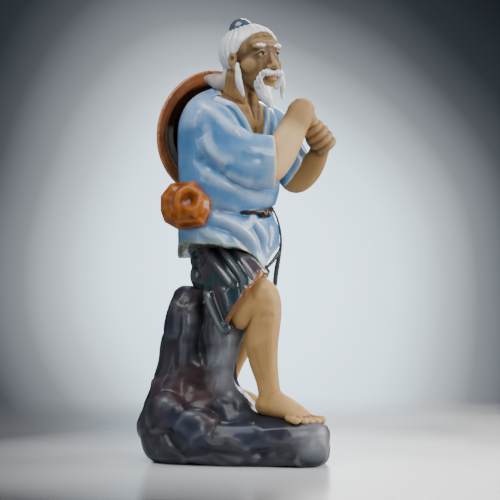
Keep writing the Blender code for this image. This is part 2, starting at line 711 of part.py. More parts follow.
def trouser_leg(bm, stations, thigh, wall):
    way = unit(thigh)
    up = unit(np.array((0.0, 0.0, 1.0)) - way * way[2])
    side = np.cross(up, way)
    rings = [oval(s[:3], up, side, s[3], s[4], 32, 2.5) for s in through(stations, 4)]
    middle = rings[-1].mean(0)
    edge = rings[-1]
    rings.append(middle + (edge - middle) * 0.98 + way * 0.8)
    rings.append(middle + (edge - middle) * (1 - wall / stations[-1][4]) + way * 0.2)
    rings.append(middle + (edge - middle) * (1 - 1.5 * wall / stations[-1][4]) - way * CUFF_DEPTH)
    loft(bm, rings)


def trousers():
    bm = bmesh.new()
    for lump in SEAT:
        ball(bm, *lump)
    flat = [(depth, inset_outline(TROUSER_FLAP, inset)) for depth, inset in FLAP_RINGS]
    for i, (depth, ring) in enumerate(flat):
        flat[i] = np.column_stack([ring[:, 0], depth + FLAP_LEAN * (ring[:, 1] - FLAP_MIDDLE), ring[:, 1]])
    loft(bm, flat)
    trouser_leg(bm, NEAR_TROUSER, THIGH_WAY, HEM_WALL / GRID)
    trouser_leg(bm, FAR_TROUSER, FAR_THIGH_WAY, HEM_WALL / GRID)
    obj = press(bm, "trousers", soften=3)
    carve(obj, TROUSER_STROKES)
    return obj


# Legs from the knee to the ankle: (x, y, z, half-depth, half-width).
NEAR_LEG = [
    (4, -17, 95, 8.5, 9),
    (10, -22, 95.5, 9.2, 9.2),
    (14.6, -26.5, 93, 9.8, 9.6),
    (15.2, -27.5, 85, 9.6, 10.2),
    (14.8, -26, 76, 9.6, 9.8),
    (14.4, -25, 67, 9.4, 9.2),
    (15.4, -24, 57, 8.2, 8.0),
    (17.4, -23, 47.5, 6.4, 6.6),
    (18.6, -22.8, 40, 5.9, 6.3),
    (19, -22.6, 33.5, 6.4, 7.2),
]
NEAR_LEG_STROKES = [
    ("ridge", 2.2, 0.6, [(12, 99), (17.5, 98.5), (19.5, 93)]),
    ("groove", 2.2, 0.4, [(13, 84), (17, 82.5), (21, 84)]),
    ("ridge", 2.4, 0.5, [(20, 80), (19.8, 66), (20, 52)]),
    ("groove", 2.0, 0.5, [(9.5, 66), (12, 56), (15, 46)]),
]
# The thigh fills the opening of the trouser leg; the knee cap and the instep round off the limb.
NEAR_THIGH = ((8.0, -25.6, 88.0), (10.4, 10.6, 14.4), (0, 35, 0))
NEAR_THIGH_FRONT = ((11.6, -27.4, 88), (8.6, 9.2, 11.5), (0, 22, 0))
NEAR_KNEE = ((16.6, -31, 91), (6.6, 6, 7))
NEAR_INSTEP = ((22.4, -24.8, 35.2), (5.6, 5.6, 6.4))
FAR_KNEE = ((14, 13.5, 91), (6.5, 6, 6.5))
FAR_LEG = [
    (6, 15, 97, 8, 8),
    (12, 15, 95, 8.6, 8.4),
    (13, 15.5, 89, 8.6, 8.4),
    (8, 17.5, 76, 8.6, 8.2),
    (1.5, 20.5, 62, 7.6, 7.2),
    (-3, 23.5, 50, 5.8, 5.8),
    (-5.5, 25.5, 40, 5.0, 5.4),
    (-6.6, 26, 30, 5.4, 5.8),
]


# A foot, in shares of its length and width: (along, across, up) with the half-sizes there, from the heel on.
FOOT_STATIONS = [
    ((-0.02, 0, 6.0), (5.6, 5.8)),
    ((0.16, 0.0, 7.6), (6.4, 7.2)),
    ((0.34, 0.03, 7.0), (6.9, 6.6)),
    ((0.52, 0.05, 5.4), (7.4, 5.2)),
    ((0.68, 0.03, 3.8), (7.8, 3.8)),
]
FOOT_PADS = [((0.66, 0.24, 2.9), (4.6, 4.6, 2.9)), ((0.60, -0.24, 2.5), (4.4, 4.4, 2.5))]
# The toes from the big one on: (across, reach, half-thickness).
TOES = [(0.36, 1.0, 2.7), (0.13, 1.0, 1.95), (-0.08, 0.95, 1.9), (-0.28, 0.89, 2.0), (-0.49, 0.80, 2.2)]


def foot(bm, heel, turn, length, width, ground, slope=0.0):
    """A bare foot: heel, arch and ball, and five toes with the big one on the given side (width's sign)."""
    a = math.radians(turn)
    fore = np.array((math.cos(a), -math.sin(a), -slope))
    inner = np.array((math.sin(a), math.cos(a), 0.0)) * math.copysign(1, width)
    w = abs(width)
    heel = np.asarray(heel, float)

    def at(along, across, up):
        p = heel + fore * along * length + inner * across * w
        return (p[0], p[1], ground - slope * along * length + up)

    limb(bm, [(*at(*place), *radii) for place, radii in FOOT_STATIONS], side=inner)
    for place, radii in FOOT_PADS:
        ball(bm, at(*place), radii)
    for across, reach, r in TOES:
        root = (*at(0.66, across * 0.92, 2.6), r, r)
        joint = (*at(reach - 0.14, across, 2.7), r * 0.86, r * 0.86)
        tip = (*at(reach - 0.05, across, r + 0.2), r, r * 0.95)
        limb(bm, [root, joint, tip], side=inner, steps=3, count=12)


def legs():
    bm = bmesh.new()
    limb(bm, NEAR_LEG)
    for lump in (NEAR_THIGH, NEAR_THIGH_FRONT, NEAR_KNEE, NEAR_INSTEP):
        ball(bm, *lump)
    foot(bm, (16.5, -20.5, 0), FOOT_TURN, 34.6, 17.5, 26.4, slope=0.11)
    near = press(bm, "near leg", voxel=0.6, soften=3)
    carve(near, NEAR_LEG_STROKES)
    bm = bmesh.new()
    limb(bm, FAR_LEG)
    ball(bm, *FAR_KNEE)
    foot(bm, (-7, 27, 0), -6, 36, -15, 24.0, slope=0.06)
    far = press(bm, "far leg", soften=3)
    return [near, far]


HEAD = np.array((9.0, -8.6, 226.0))
HEAD_SIZE = 1.08


def head_at(forward, right, up):
    """A place on the head, measured from its middle at the height of the eyes."""
    fore, side = heading(HEAD_TURN)
    t = math.radians(HEAD_LIFT)
    ahead = fore * math.cos(t) + np.array((0, 0, math.sin(t)))
    above = np.array((0, 0, math.cos(t))) - fore * math.sin(t)
    return HEAD + HEAD_SIZE * (ahead * forward + side * right + above * up)


def head_ball(bm, place, radii):
    """An ellipsoid on the head; its radii run forward, sideways and up."""
    ball(bm, head_at(*place), [r * HEAD_SIZE for r in radii], (0, -HEAD_LIFT, -HEAD_TURN))


# The face and skull: (forward, right, up) and radii (forward, sideways, up). A lump beside the middle is
# made on both sides.
SKULL = [
    ((-1.8, 0, 3.5), (16.6, 14.0, 13.4)),
    ((4.4, 0, -4.2), (11.6, 11.4, 13.2)),
    ((8.6, 0, 4.8), (6.6, 9.8, 5.4)),
    ((6.4, 6.2, -5.2), (6.6, 5.8, 6.2)),
    ((11.2, 0, -10.6), (4.4, 6.0, 4.4)),
    ((9.6, 0, -13.8), (4.8, 5.6, 4.0)),
    ((12.3, 4.8, 3.2), (2.5, 4.4, 1.7)),
    ((17.6, 0, -7.0), (2.1, 2.0, 1.9)),
    ((16.0, 2.2, -7.6), (1.6, 1.3, 1.4)),
    ((15.2, 0, -11.9), (1.6, 3.4, 0.9)),
    ((14.9, 0, -13.6), (1.6, 2.9, 1.1)),
    ((0.6, 13.7, -2.2), (3.1, 1.5, 4.8)),
]
EYES = [((11.8, 5.1, -0.5), (2.6, 3.1, 2.3))]
EARLOBE = ((2.0, 13.4, -6.6), (1.7, 1.3, 1.9))
# The nose's bridge, and the lids over and under each eye: (forward, right, up, half-thickness, half-width).
NOSE = [(13.6, 0, 1.2, 1.4, 1.3), (15.6, 0, -2.6, 1.6, 1.5), (17.6, 0, -6.4, 1.9, 1.8)]
UPPER_LID = [
    (12.6, 2.5, -0.7, 0.5, 0.5),
    (14.3, 3.8, 0.6, 0.75, 0.75),
    (14.3, 5.6, 0.9, 0.75, 0.75),
    (12.4, 7.7, -0.3, 0.5, 0.5),
]
LOWER_LID = [
    (12.6, 2.6, -1.0, 0.4, 0.4),
    (14.0, 4.2, -1.9, 0.6, 0.6),
    (13.9, 5.8, -1.9, 0.6, 0.6),
    (12.4, 7.5, -0.7, 0.4, 0.4),
]
EAR_HOLLOW = ((1.6, 15.4, -1.6), 2.6, 1.0)
NECK = [
    (-1, 0, 190, 12, 12),
    (2, -2.5, 200, 11.4, 11),
    (3.6, -5, 209, 10.4, 10.4),
    (4.5, -7, 217, 10.6, 10.6),
]
SKIN_INSET = 2.4  # how far the chest lies under the robe


# Tendons of the neck and the hollow between the collar bones, as (across, up) from the front of the torso.
CHEST_STROKES = [
    ("ridge", 1.5, 1.0, [(-10, 209), (-7, 200), (-3.5, 191)]),
    ("groove", 1.6, 1.1, [(-6.5, 207), (-4, 199), (-2, 190)]),
    ("groove", 1.6, 0.8, [(5, 206), (3.5, 198), (0.5, 189)]),
    ("groove", 1.8, 0.8, [(-2, 188), (-2.5, 182), (-2, 176)]),
]


def both_sides(place):
    forward, right, up = place
    return [(forward, right, up)] + ([(forward, -right, up)] if right else [])


def head_skin():
    bm = bmesh.new()
    for place, radii in [*SKULL, *EYES, EARLOBE]:
        for spot in both_sides(place):
            head_ball(bm, spot, radii)
    limb(bm, [(*head_at(*s[:3]), *s[3:]) for s in NOSE], steps=3, count=12)
    for lid in (UPPER_LID, LOWER_LID):
        for end in (1, -1):
            limb(bm, [(*head_at(a, b * end, c), t, w) for a, b, c, t, w in lid], steps=4, count=10)
    limb(bm, NECK)
    loft(bm, [robe_ring(*s, inset=SKIN_INSET) for s in through(ROBE[:6], 3)])
    obj = press(bm, "head", voxel=0.6, soften=2)
    place, width, depth = EAR_HOLLOW
    dent(obj, [(head_at(*spot), width, depth) for spot in both_sides(place)])
    carve(obj, CHEST_STROKES, azimuth=90 - TORSO_TURN)
    return obj


# Hair: a cap over the skull behind a slanting hairline, the nape, brows, moustache, beard and side locks.
HAIR_CAP = ((-2.2, 0, 3.4), (17.4, 14.9, 14.2))
HAIRLINE = ((1.8, 0, -1.0), (0.81, 0, -0.59))
NAPE = ((-9.6, 0, -7.5), (7.8, 11.2, 8.0))
BROW_HAIR = ((13.7, 5.0, 3.9), (1.4, 3.7, 1.3))
MOUSTACHE = ((15.4, 3.2, -10.4), (1.9, 4.2, 1.9))


# The lock that hangs free before each ear: (forward, right, up, half-thickness, half-width).
LOCK = [
    (3.6, 13.0, -4.6, 0.9, 0.9),
    (4.4, 14.0, -8.0, 1.4, 2.0),
    (5.2, 14.6, -12.6, 1.5, 2.5),
    (6.0, 14.2, -17.4, 1.3, 2.0),
    (6.6, 13.2, -21.4, 0.8, 0.9),
]
# The beard's whiskers beside the mouth, and the long beard down from the chin.
WHISKER = [(14.0, 5.6, -10.6, 1.5, 1.6), (12.6, 6.6, -13.4, 1.8, 2.0), (11.0, 5.6, -16.4, 2.0, 2.2)]
GOATEE = [
    (14.0, -16.0, 214.6, 3.0, 5.6),
    (14.9, -17.4, 210.5, 4.0, 6.4),
    (16.4, -18.9, 205.5, 3.9, 5.7),
    (18.1, -20.5, 201, 2.9, 3.9),
    (19.0, -21.3, 198.4, 1.6, 1.9),
]


def half_ball(bm, place, radii, point, way):
    """An ellipsoid on the head, cut off flat in front of a plane."""
    before = set(bm.verts)
    head_ball(bm, place, radii)
    new = [v for v in bm.verts if v not in before]
    faces = {f for v in new for f in v.link_faces}
    edges = {e for v in new for e in v.link_edges}
    normal = head_at(*way) - head_at(0, 0, 0)
    out = bmesh.ops.bisect_plane(bm, geom=[*new, *edges, *faces], plane_co=Vector(head_at(*point)) * GRID,
                                 plane_no=Vector(normal), clear_outer=True)
    rim = [g for g in out["geom_cut"] if isinstance(g, bmesh.types.BMEdge)]
    bmesh.ops.holes_fill(bm, edges=rim, sides=0)


def hair():
    bm = bmesh.new()
    half_ball(bm, *HAIR_CAP, *HAIRLINE)
    head_ball(bm, *NAPE)
    cap = press(bm, "hair cap", voxel=0.6, soften=4)
    bm = bmesh.new()
    for place, radii in (BROW_HAIR, MOUSTACHE):
        for spot in both_sides(place):
            head_ball(bm, spot, radii)
    for end in (1, -1):
        limb(bm, [(*head_at(a, b * end, c), t, w) for a, b, c, t, w in WHISKER], steps=3, count=12)
    limb(bm, GOATEE, side=heading(TORSO_TURN)[0], steps=4)
    beard = press(bm, "beard", voxel=0.6, soften=2)
    bm = bmesh.new()
    across = head_at(0, 1, 0) - HEAD
    for end in (1, -1):
        limb(bm, [(*head_at(a, b * end, c), t, w) for a, b, c, t, w in LOCK], side=across, steps=4, count=12)
    locks = press(bm, "side locks", voxel=0.5, soften=1)
    return [cap, beard, locks]


BUN = ((3.0, -6.5, 241.0), (6.9, 6.9, 6.9))
BUN_FOOT = [(3.8, -7, 236, 6.6, 6.6), (3.4, -6.8, 238.5, 6.2, 6.2)]


def bun():
    bm = bmesh.new()
    ball(bm, *BUN)
    limb(bm, BUN_FOOT, steps=2)
    return press(bm, "hair bun", voxel=0.6, soften=1)


# The hat hangs on the back with its hollow side towards the body.
HAT_MIDDLE = np.array((-11.6, 15.6, 184.0))
HAT_PROFILE = [
    (1.00, 0.02), (0.99, 0.10), (0.93, 0.15), (0.85, 0.25), (0.76, 0.50), (0.62, 0.74), (0.42, 0.92),
    (0.22, 1.02), (0.06, 1.06),
]


def hat_hang(profile, wall):
    """The hat as rings of a disc turned about its axis: the outside to the middle, then back inside."""
    a = math.radians(HAT_TURN)
    ahead = np.array((math.cos(a), -math.sin(a), -0.10))
    ahead /= np.linalg.norm(ahead)
    across = unit(np.cross((0, 0, 1), ahead))
    up = np.cross(ahead, across)
    radius, depth = HAT_RADIUS / GRID, HAT_CROWN_DEPTH / GRID
    rings = []
    for share, back in reversed(profile):
        middle = HAT_MIDDLE - ahead * (back * depth + wall)
        rings.append(oval(middle, across, up, share * radius, share * radius, 48))
    for share, back in profile:
        inside = share * radius - (wall * 0.5 if share < 0.97 else 0.4)
        rings.append(oval(HAT_MIDDLE - ahead * back * depth, across, up, inside, inside, 48))
    return rings


def hat():
    bm = bmesh.new()
    loft(bm, hat_hang(HAT_PROFILE, HAT_WALL / GRID))
    return press(bm, "hat", soften=2)


# The pad that lies between the nape and the hat.
PAD = [
    (-15.8, 6.4, 214.8, 2.8, 2.4),
    (-13.0, 2.4, 214.0, 4.0, 3.6),
    (-9, -1.5, 212.8, 4.8, 5.0),
    (-4, -3, 211.5, 5.0, 6.0),
]


def pad():
    bm = bmesh.new()
    limb(bm, PAD)
    return press(bm, "hat pad", soften=2)


# The gourd at the hip: a short faceted drum, its end turned to the viewer. Its outline is in shares of the
# half-width, and its rings run from the back to the front as (share of the half-depth, share of the outline).
POUCH_MIDDLE = np.array((-27.2, -24.0, 144.4))
POUCH_OUTLINE = [
    (-0.36, 0.90), (0.62, 0.80), (1.02, 0.30), (1.02, -0.30), (0.86, -0.74), (0.30, -1.05), (-0.76, -0.91),
    (-1.0, -0.30), (-1.02, 0.12),
]
POUCH_RINGS = [
    (-1.0, 0.50), (-0.86, 0.78), (-0.5, 0.95), (0.1, 1.0), (0.42, 0.95), (0.78, 0.76), (0.98, 0.5),
    (1.06, 0.25),
]
# The raised hook on the gourd's end, as the viewer sees it.
POUCH_HOOK = [
    (-30.7, 138.3), (-31.8, 142.7), (-31.6, 147.5), (-29.4, 151), (-25.2, 152.6), (-21.3, 150.6),
    (-16.9, 149),
]
POUCH_STROKES = [
    ("ridge", 1.5, 1.5, POUCH_HOOK),
    ("groove", 1.6, 0.7, [(-26.5, 138), (-22, 136), (-18, 139)]),
]
POUCH_DIMPLE = ((-24.4, -37, 146.2), 6.0, 1.6)


def pouch():
    bm = bmesh.new()
    ahead = unit((-0.12, -0.98, 0.05))
    across = unit(np.cross((0, 0, 1), ahead))
    up = np.cross(ahead, across)
    half, reach = POUCH_WIDTH / 2 / GRID, POUCH_DEPTH / 2 / GRID
    corners = np.array(POUCH_OUTLINE)
    shares = np.arange(4)[:, None] / 4
    outline = np.vstack([p + shares * (q - p) for p, q in zip(corners, np.roll(corners, -1, axis=0))])
    rings = []
    for along, share in POUCH_RINGS:
        flat = outline * share * half
        middle = POUCH_MIDDLE + ahead * along * reach
        rings.append(middle + np.outer(flat[:, 0], -across) + np.outer(flat[:, 1], up))
    loft(bm, rings)
    obj = press(bm, "pouch", voxel=0.7, soften=2)
    dent(obj, [POUCH_DIMPLE])
    carve(obj, POUCH_STROKES)
    return obj


CORD = [
    (-26, -12, 141), (-17, -19, 140.5), (-5, -21.5, 140), (5, -21.8, 139.6), (9, -20.8, 139.6),
    (14.6, -16.2, 140), (19.6, -7.5, 141.6), (20.8, 2, 142.8),
]
BACK_CORD = [
    (20.8, 2, 142.8), (20.0, 13.1, 142.6), (13.9, 21.6, 142.3), (4.4, 25.9, 142), (-6.2, 24.9, 142),
    (-15.5, 18.6, 142), (-21.5, 14.1, 142), (-27.5, 6.8, 142), (-30.2, -4.5, 141.6), (-28.6, -13.1, 141),
]
KNOTS = [((14.6, -15.6, 138.6), (2.6, 2.0, 2.2)), ((17.6, -12.8, 138.0), (2.2, 1.8, 1.6))]
# The ends of the sash: (x, y, z, width as a share of its thickness).
RIBBON = [
    (20.6, -4, 141.5, 0.7),
    (22.8, -1, 137, 0.7),
    (24.8, 2.5, 130, 0.7),
    (25.4, 5, 122, 0.8),
    (24.2, 6.6, 114, 1.3),
    (22.8, 8.4, 106, 1.5),
    (22.0, 10, 98, 1.4),
]
RIBBON_TAIL = [(24.8, 5.8, 118, 0.9), (21.2, 4.0, 112.5, 1.1), (17.0, 1.5, 108, 0.9)]


def cords():
    bm = bmesh.new()
    for path in (CORD, BACK_CORD):
        limb(bm, [(*p, 1.2, 1.2) for p in path], steps=4, count=10)
    for knot in KNOTS:
        ball(bm, *knot)
    belt = press(bm, "belt", voxel=0.5, soften=1)
    bm = bmesh.new()
    half = SASH_THICKNESS / 2 / GRID
    for path in (RIBBON, RIBBON_TAIL):
        limb(bm, [(x, y, z, half, half * share) for x, y, z, share in path], steps=5, count=10)
    return [belt, press(bm, "ribbon", voxel=0.5, soften=1)]


def fire(areas):
    """Joins all areas into one body, as the firing does, with the working number of triangles."""
    bm = bmesh.new()
    for area in areas:
        bm.from_mesh(area.data)
        bpy.data.objects.remove(area)
    body = object_from(bm, "figurine")
    skin = body.modifiers.new("skin", "REMESH")
    skin.mode = "VOXEL"
    skin.voxel_size = BODY_VOXEL * GRID
    body = evaluated(body)
    drop_scraps(body)
    thin = body.modifiers.new("thin", "DECIMATE")
    thin.ratio = TRIANGLES / sum(len(p.vertices) - 2 for p in body.data.polygons)
    return evaluated(body)


def drop_scraps(obj):
    """Keeps only the largest closed skin of a body: sealed hollows inside it are filled."""
    bm = bmesh.new()
    bm.from_mesh(obj.data)
    left = set(bm.verts)
    shells = []
    while left:
        stack = [left.pop()]
        shell = list(stack)
        while stack:
            for edge in stack.pop().link_edges:
                for v in edge.verts:
                    if v in left:
                        left.remove(v)
                        stack.append(v)
                        shell.append(v)
        shells.append(shell)
    keep = max(shells, key=len)
    bmesh.ops.delete(bm, geom=[v for shell in shells if shell is not keep for v in shell], context="VERTS")
    bm.to_mesh(obj.data)
    bm.free()


def stand(body):
    """Puts the origin under the middle of the base and sets the height."""
    co = positions(body.data)
    low, high = co.min(0), co.max(0)
    co -= ((low[0] + high[0]) / 2, (low[1] + high[1]) / 2, low[2])
    co *= HEIGHT / (high[2] - low[2])
    move_to(body.data, co)


def main():
    for obj in list(bpy.data.objects):
        bpy.data.objects.remove(obj)
    areas = [rock(), robe(), collar(), *sleeves(), *arms(), trousers(), *legs(), head_skin(), *hair(), bun(),
             hat(), pad(), pouch(), *cords()]
    stand(fire(areas))


main()
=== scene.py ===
"""The glazed figurine of an old fisherman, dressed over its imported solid.

The clay is laid on as in the solid, area by area, but on a finer mesh and with its glazes. Each glazed or
bare area is a piece of its own. Strands of hair, lines on the forehead and painted eyes and lips are added.

Frame: metres, +Z up, origin under the middle of the base. -Y faces the viewer, +X is to the right.
"""

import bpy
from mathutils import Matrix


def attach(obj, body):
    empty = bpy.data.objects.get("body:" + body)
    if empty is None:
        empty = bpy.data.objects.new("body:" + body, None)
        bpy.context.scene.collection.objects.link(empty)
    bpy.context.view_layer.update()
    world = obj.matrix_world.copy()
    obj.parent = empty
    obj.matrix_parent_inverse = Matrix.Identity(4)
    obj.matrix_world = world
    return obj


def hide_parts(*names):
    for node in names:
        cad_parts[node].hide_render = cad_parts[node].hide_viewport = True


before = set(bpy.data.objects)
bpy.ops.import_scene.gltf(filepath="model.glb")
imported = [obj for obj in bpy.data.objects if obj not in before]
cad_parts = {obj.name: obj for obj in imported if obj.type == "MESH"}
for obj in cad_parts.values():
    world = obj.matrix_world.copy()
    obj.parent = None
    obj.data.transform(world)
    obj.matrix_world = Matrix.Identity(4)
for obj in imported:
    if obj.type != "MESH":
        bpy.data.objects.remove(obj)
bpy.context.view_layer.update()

import math

import bmesh
import bpy
import numpy as np
from mathutils import Euler, Matrix, Vector

# Driving sizes, in metres.
HEIGHT = 0.250  # from the underside of the rock to the top of the hair bun
HAT_RADIUS = 0.0365
HAT_CROWN_DEPTH = 0.0155
HAT_WALL = 0.0026
POUCH_WIDTH = 0.0280
POUCH_DEPTH = 0.0230
SASH_THICKNESS = 0.0020
HEM_WALL = 0.0022  # thickness of the cloth at hems and cuffs

# The pose is drawn on a grid of 250 to the height, so one grid unit is 1 mm at the size above.
GRID = HEIGHT / 250.0

# The mesh size that the areas are modelled at, in grid units.
AREA_VOXEL = 0.6
ROCK_VOXEL = 0.64
POUCH_VOXEL = 0.7
THIN_VOXEL = 0.5  # for the side locks, belt and ribbon
SOFT_VOXEL = 0.85  # the mesh size that the numbers of smoothing steps are given for

STROKE_STEPS = 90  # points along a stroke drawn into a skin
STROKE_REACH = 3.2  # how far from its line a stroke still moves the skin, in its widths
DOME_ANGLES = (35, 65, 85)  # the rings that round off a limb's end, in degrees
BALL_MESH = {"u_segments": 20, "v_segments": 14, "radius": 1.0}

# Which way the figure turns, in degrees from +X towards the viewer.
TORSO_TURN = 40.0
HEAD_TURN = 50.0
HEAD_LIFT = 6.0
FOOT_TURN = 34.0
HAT_TURN = 60.0


def heading(turn):
    """Unit vectors forward and to the figure's own right, for a turn from +X towards the viewer."""
    a = math.radians(turn)
    return np.array((math.cos(a), -math.sin(a), 0.0)), np.array((-math.sin(a), -math.cos(a), 0.0))


def unit(v):
    v = np.asarray(v, float)
    return v / np.linalg.norm(v)


def between(a, b, c, d, t):
    """A place on the smooth curve from b to c, with a before them and d after (Catmull-Rom)."""
    bent = (2 * a - 5 * b + 4 * c - d) * t**2 + (3 * b - a - 3 * c + d) * t**3
    return 0.5 * (2 * b + (c - a) * t + bent)


def through(points, steps):
    """A smooth row of points through the given ones, with the given steps to a span."""
    p = np.asarray(points, float)
    p = np.vstack([2 * p[0] - p[1], p, 2 * p[-1] - p[-2]])
    out = []
    for i in range(1, len(p) - 2):
        for t in np.arange(steps) / steps:
            out.append(between(*p[i - 1:i + 3], t))
    out.append(p[-2])
    return np.array(out)


def round_outline(points, steps):
    """A smooth closed row of points through the given ones."""
    p = np.asarray(points, float)
    n = len(p)
    out = []
    for i in range(n):
        a, b, c, d = p[i - 1], p[i], p[(i + 1) % n], p[(i + 2) % n]
        for t in np.arange(steps) / steps:
            out.append(between(a, b, c, d, t))
    return np.array(out)


def ball(bm, centre, radii, turn=(0, 0, 0)):
    """An ellipsoid, with its half-axes turned by the three angles in degrees."""
    angles = [math.radians(a) for a in turn]
    place = (
        Matrix.Translation(Vector(centre) * GRID)
        @ Euler(angles).to_matrix().to_4x4()
        @ Matrix.Diagonal((*(r * GRID for r in radii), 1.0))
    )
    bmesh.ops.create_uvsphere(bm, **BALL_MESH, matrix=place)


def loft(bm, rings):
    """A closed skin over a row of rings that have the same number of points."""
    rows = [[bm.verts.new(Vector(p) * GRID) for p in ring] for ring in rings]
    for low, high in zip(rows, rows[1:]):
        for i in range(len(low)):
            j = (i + 1) % len(low)
            bm.faces.new((low[i], low[j], high[j], high[i]))
    bm.faces.new(rows[0][::-1])
    bm.faces.new(rows[-1])


def oval(centre, side, other, a, b, count=28, power=2.0):
    """A ring: half-width a along side and b along other. A power over 2 makes it squarer."""
    angles = np.arange(count) * 2 * math.pi / count
    c, s = np.cos(angles), np.sin(angles)
    u = np.sign(c) * np.abs(c) ** (2 / power) * a
    w = np.sign(s) * np.abs(s) ** (2 / power) * b
    return np.asarray(centre) + np.outer(u, side) + np.outer(w, other)


def limb(bm, stations, side=(0, 1, 0), steps=5, count=20):
    """A round or oval limb through stations (x, y, z, half-width along side, half-width square to it)."""
    path = through([[*s, s[3]] if len(s) == 4 else s for s in stations], steps)
    tangents = np.gradient(path[:, :3], axis=0)
    rings = []
    for k, (p, t) in enumerate(zip(path, tangents)):
        t = unit(t)
        across = unit(np.asarray(side, float) - t * np.dot(side, t))
        other = np.cross(t, across)
        ring = [oval(p[:3], across, other, p[3], p[4], count)]
        if k in (0, len(path) - 1):
            way = 1 if k else -1
            reach = min(p[3], p[4])
            for angle in DOME_ANGLES:
                c, s = math.cos(math.radians(angle)), math.sin(math.radians(angle))
                ring.append(oval(p[:3] + way * t * reach * s, across, other, p[3] * c, p[4] * c, count))
            if k == 0:
                ring = ring[::-1]
        rings += ring
    loft(bm, rings)


def object_from(bm, name):
    mesh = bpy.data.meshes.new(name)
    bmesh.ops.recalc_face_normals(bm, faces=bm.faces)
    bm.to_mesh(mesh)
    bm.free()
    obj = bpy.data.objects.new(name, mesh)
    bpy.context.scene.collection.objects.link(obj)
    return obj


def evaluated(obj):
    """The object's mesh with its modifiers applied, in place of the object's own."""
    graph = bpy.context.evaluated_depsgraph_get()
    mesh = bpy.data.meshes.new_from_object(obj.evaluated_get(graph))
    obj.modifiers.clear()
    obj.data = mesh
    return obj


def soften_skin(obj, times, voxel):
    """Adds smoothing to a skin, worth a number of steps on a mesh of SOFT_VOXEL."""
    smooth = obj.modifiers.new("smooth", "SMOOTH")
    smooth.factor = 0.5
    smooth.iterations = round(times * (SOFT_VOXEL / voxel) ** 2)


def press(bm, name, voxel=AREA_VOXEL, soften=4):
    """The lumps of one area pressed into one skin."""
    obj = object_from(bm, name)
    skin = obj.modifiers.new("skin", "REMESH")
    skin.mode = "VOXEL"
    skin.voxel_size = voxel * GRID
    soften_skin(obj, soften, voxel)
    return evaluated(obj)


def positions(mesh):
    co = np.empty(len(mesh.vertices) * 3)
    mesh.vertices.foreach_get("co", co)
    return co.reshape(-1, 3)


def normals(mesh):
    no = np.empty(len(mesh.vertices) * 3)
    mesh.vertices.foreach_get("normal", no)
    return no.reshape(-1, 3)


def move_to(mesh, co):
    mesh.vertices.foreach_set("co", co.astype(np.float32).ravel())
    mesh.update()


def seen_from(azimuth):
    """The ways to the right and towards the eye, as seen from an azimuth."""
    a = math.radians(azimuth)
    return np.array((math.cos(a), math.sin(a), 0.0)), np.array((math.sin(a), -math.cos(a), 0.0))


def carve(obj, strokes, azimuth=0.0, reach=(-999, 999)):
    """Draws strokes into a skin, as seen from an azimuth (0 is the viewer at -Y, 90 is from +X).

    A stroke is (kind, width, depth, points), with points (across, up) as seen from there, in grid units.
    A groove is cut in, a ridge raised, and a step raises the cloth on the left of its own direction.
    Only what faces the azimuth is moved, and only between the two reaches along the line of sight.
    """
    mesh = obj.data
    co = positions(mesh) / GRID
    no = normals(mesh)
    right, near = seen_from(azimuth)
    facing = np.clip((no @ near - 0.05) / 0.3, 0, 1)
    depth_along = co @ near
    facing *= (depth_along > reach[0]) & (depth_along < reach[1])
    flat = np.column_stack([co @ right, co[:, 2]])
    shift = np.zeros(len(co))
    for kind, width, depth, points in strokes:
        line = through(points, STROKE_STEPS // (len(points) - 1))
        span = STROKE_REACH * width
        low, high = line.min(0) - span, line.max(0) + span
        chosen = np.flatnonzero((facing > 0) & (flat > low).all(1) & (flat < high).all(1))
        if not len(chosen):
            continue
        gaps = flat[chosen, None, :] - line[None, :, :]
        squares = (gaps**2).sum(2)
        nearest = squares.argmin(1)
        distance = np.sqrt(squares.min(1))
        along = nearest / (len(line) - 1)
        taper = np.clip(np.minimum(along, 1 - along) * 5 + 0.15, 0, 1)
        way = np.gradient(line, axis=0)[nearest]
        gap = gaps[np.arange(len(chosen)), nearest]
        left = way[:, 0] * gap[:, 1] - way[:, 1] * gap[:, 0] > 0
        bell = np.exp(-((distance / width) ** 2))
        if kind == "groove":
            push = -depth * bell
        elif kind == "ridge":
            push = depth * bell
        else:
            push = depth * np.where(left, np.exp(-distance / (1.6 * width)), -0.35 * bell)
        shift[chosen] += push * taper * facing[chosen]
    move_to(mesh, (co + no * shift[:, None]) * GRID)


def dent(obj, dents):
    """Presses round hollows (or, with a negative depth, swellings) into a skin: (centre, radius, depth)."""
    mesh = obj.data
    co = positions(mesh) / GRID
    no = normals(mesh)
    for centre, radius, depth in dents:
        distance = np.linalg.norm(co - np.asarray(centre, float), axis=1) / radius
        weight = np.clip(1 - distance**2, 0, 1) ** 2
        co -= no * (weight * depth)[:, None]
    move_to(mesh, co * GRID)


def chip(obj, size, depth, seed):
    """Breaks a rock's skin into flat facets: each cell of a rough grid is cut by its own tilted plane."""
    mesh = obj.data
    co = positions(mesh) / GRID
    rng = np.random.default_rng(seed)
    low, high = co.min(0) - size, co.max(0) + size
    cells = np.ceil((high - low) / size).astype(int)
    grid = np.stack(np.meshgrid(*[np.arange(n) for n in cells], indexing="ij"), axis=-1).reshape(-1, 3)
    seeds = low + (grid + rng.uniform(0.1, 0.9, grid.shape)) * size
    tilts = rng.normal(size=grid.shape)
    tilts /= np.linalg.norm(tilts, axis=1)[:, None]
    squares = ((co[:, None, :] - seeds[None]) ** 2).sum(2)
    first, second = np.argsort(squares, axis=1)[:, :2].T
    near = np.sqrt(squares[np.arange(len(co)), first])
    far = np.sqrt(squares[np.arange(len(co)), second])
    fade = np.clip((far - near) / (0.5 * size), 0, 1) ** 0.7
    push = ((co - seeds[first]) * tilts[first]).sum(1) / size * depth * fade
    move_to(mesh, (co + normals(mesh) * push[:, None]) * GRID)


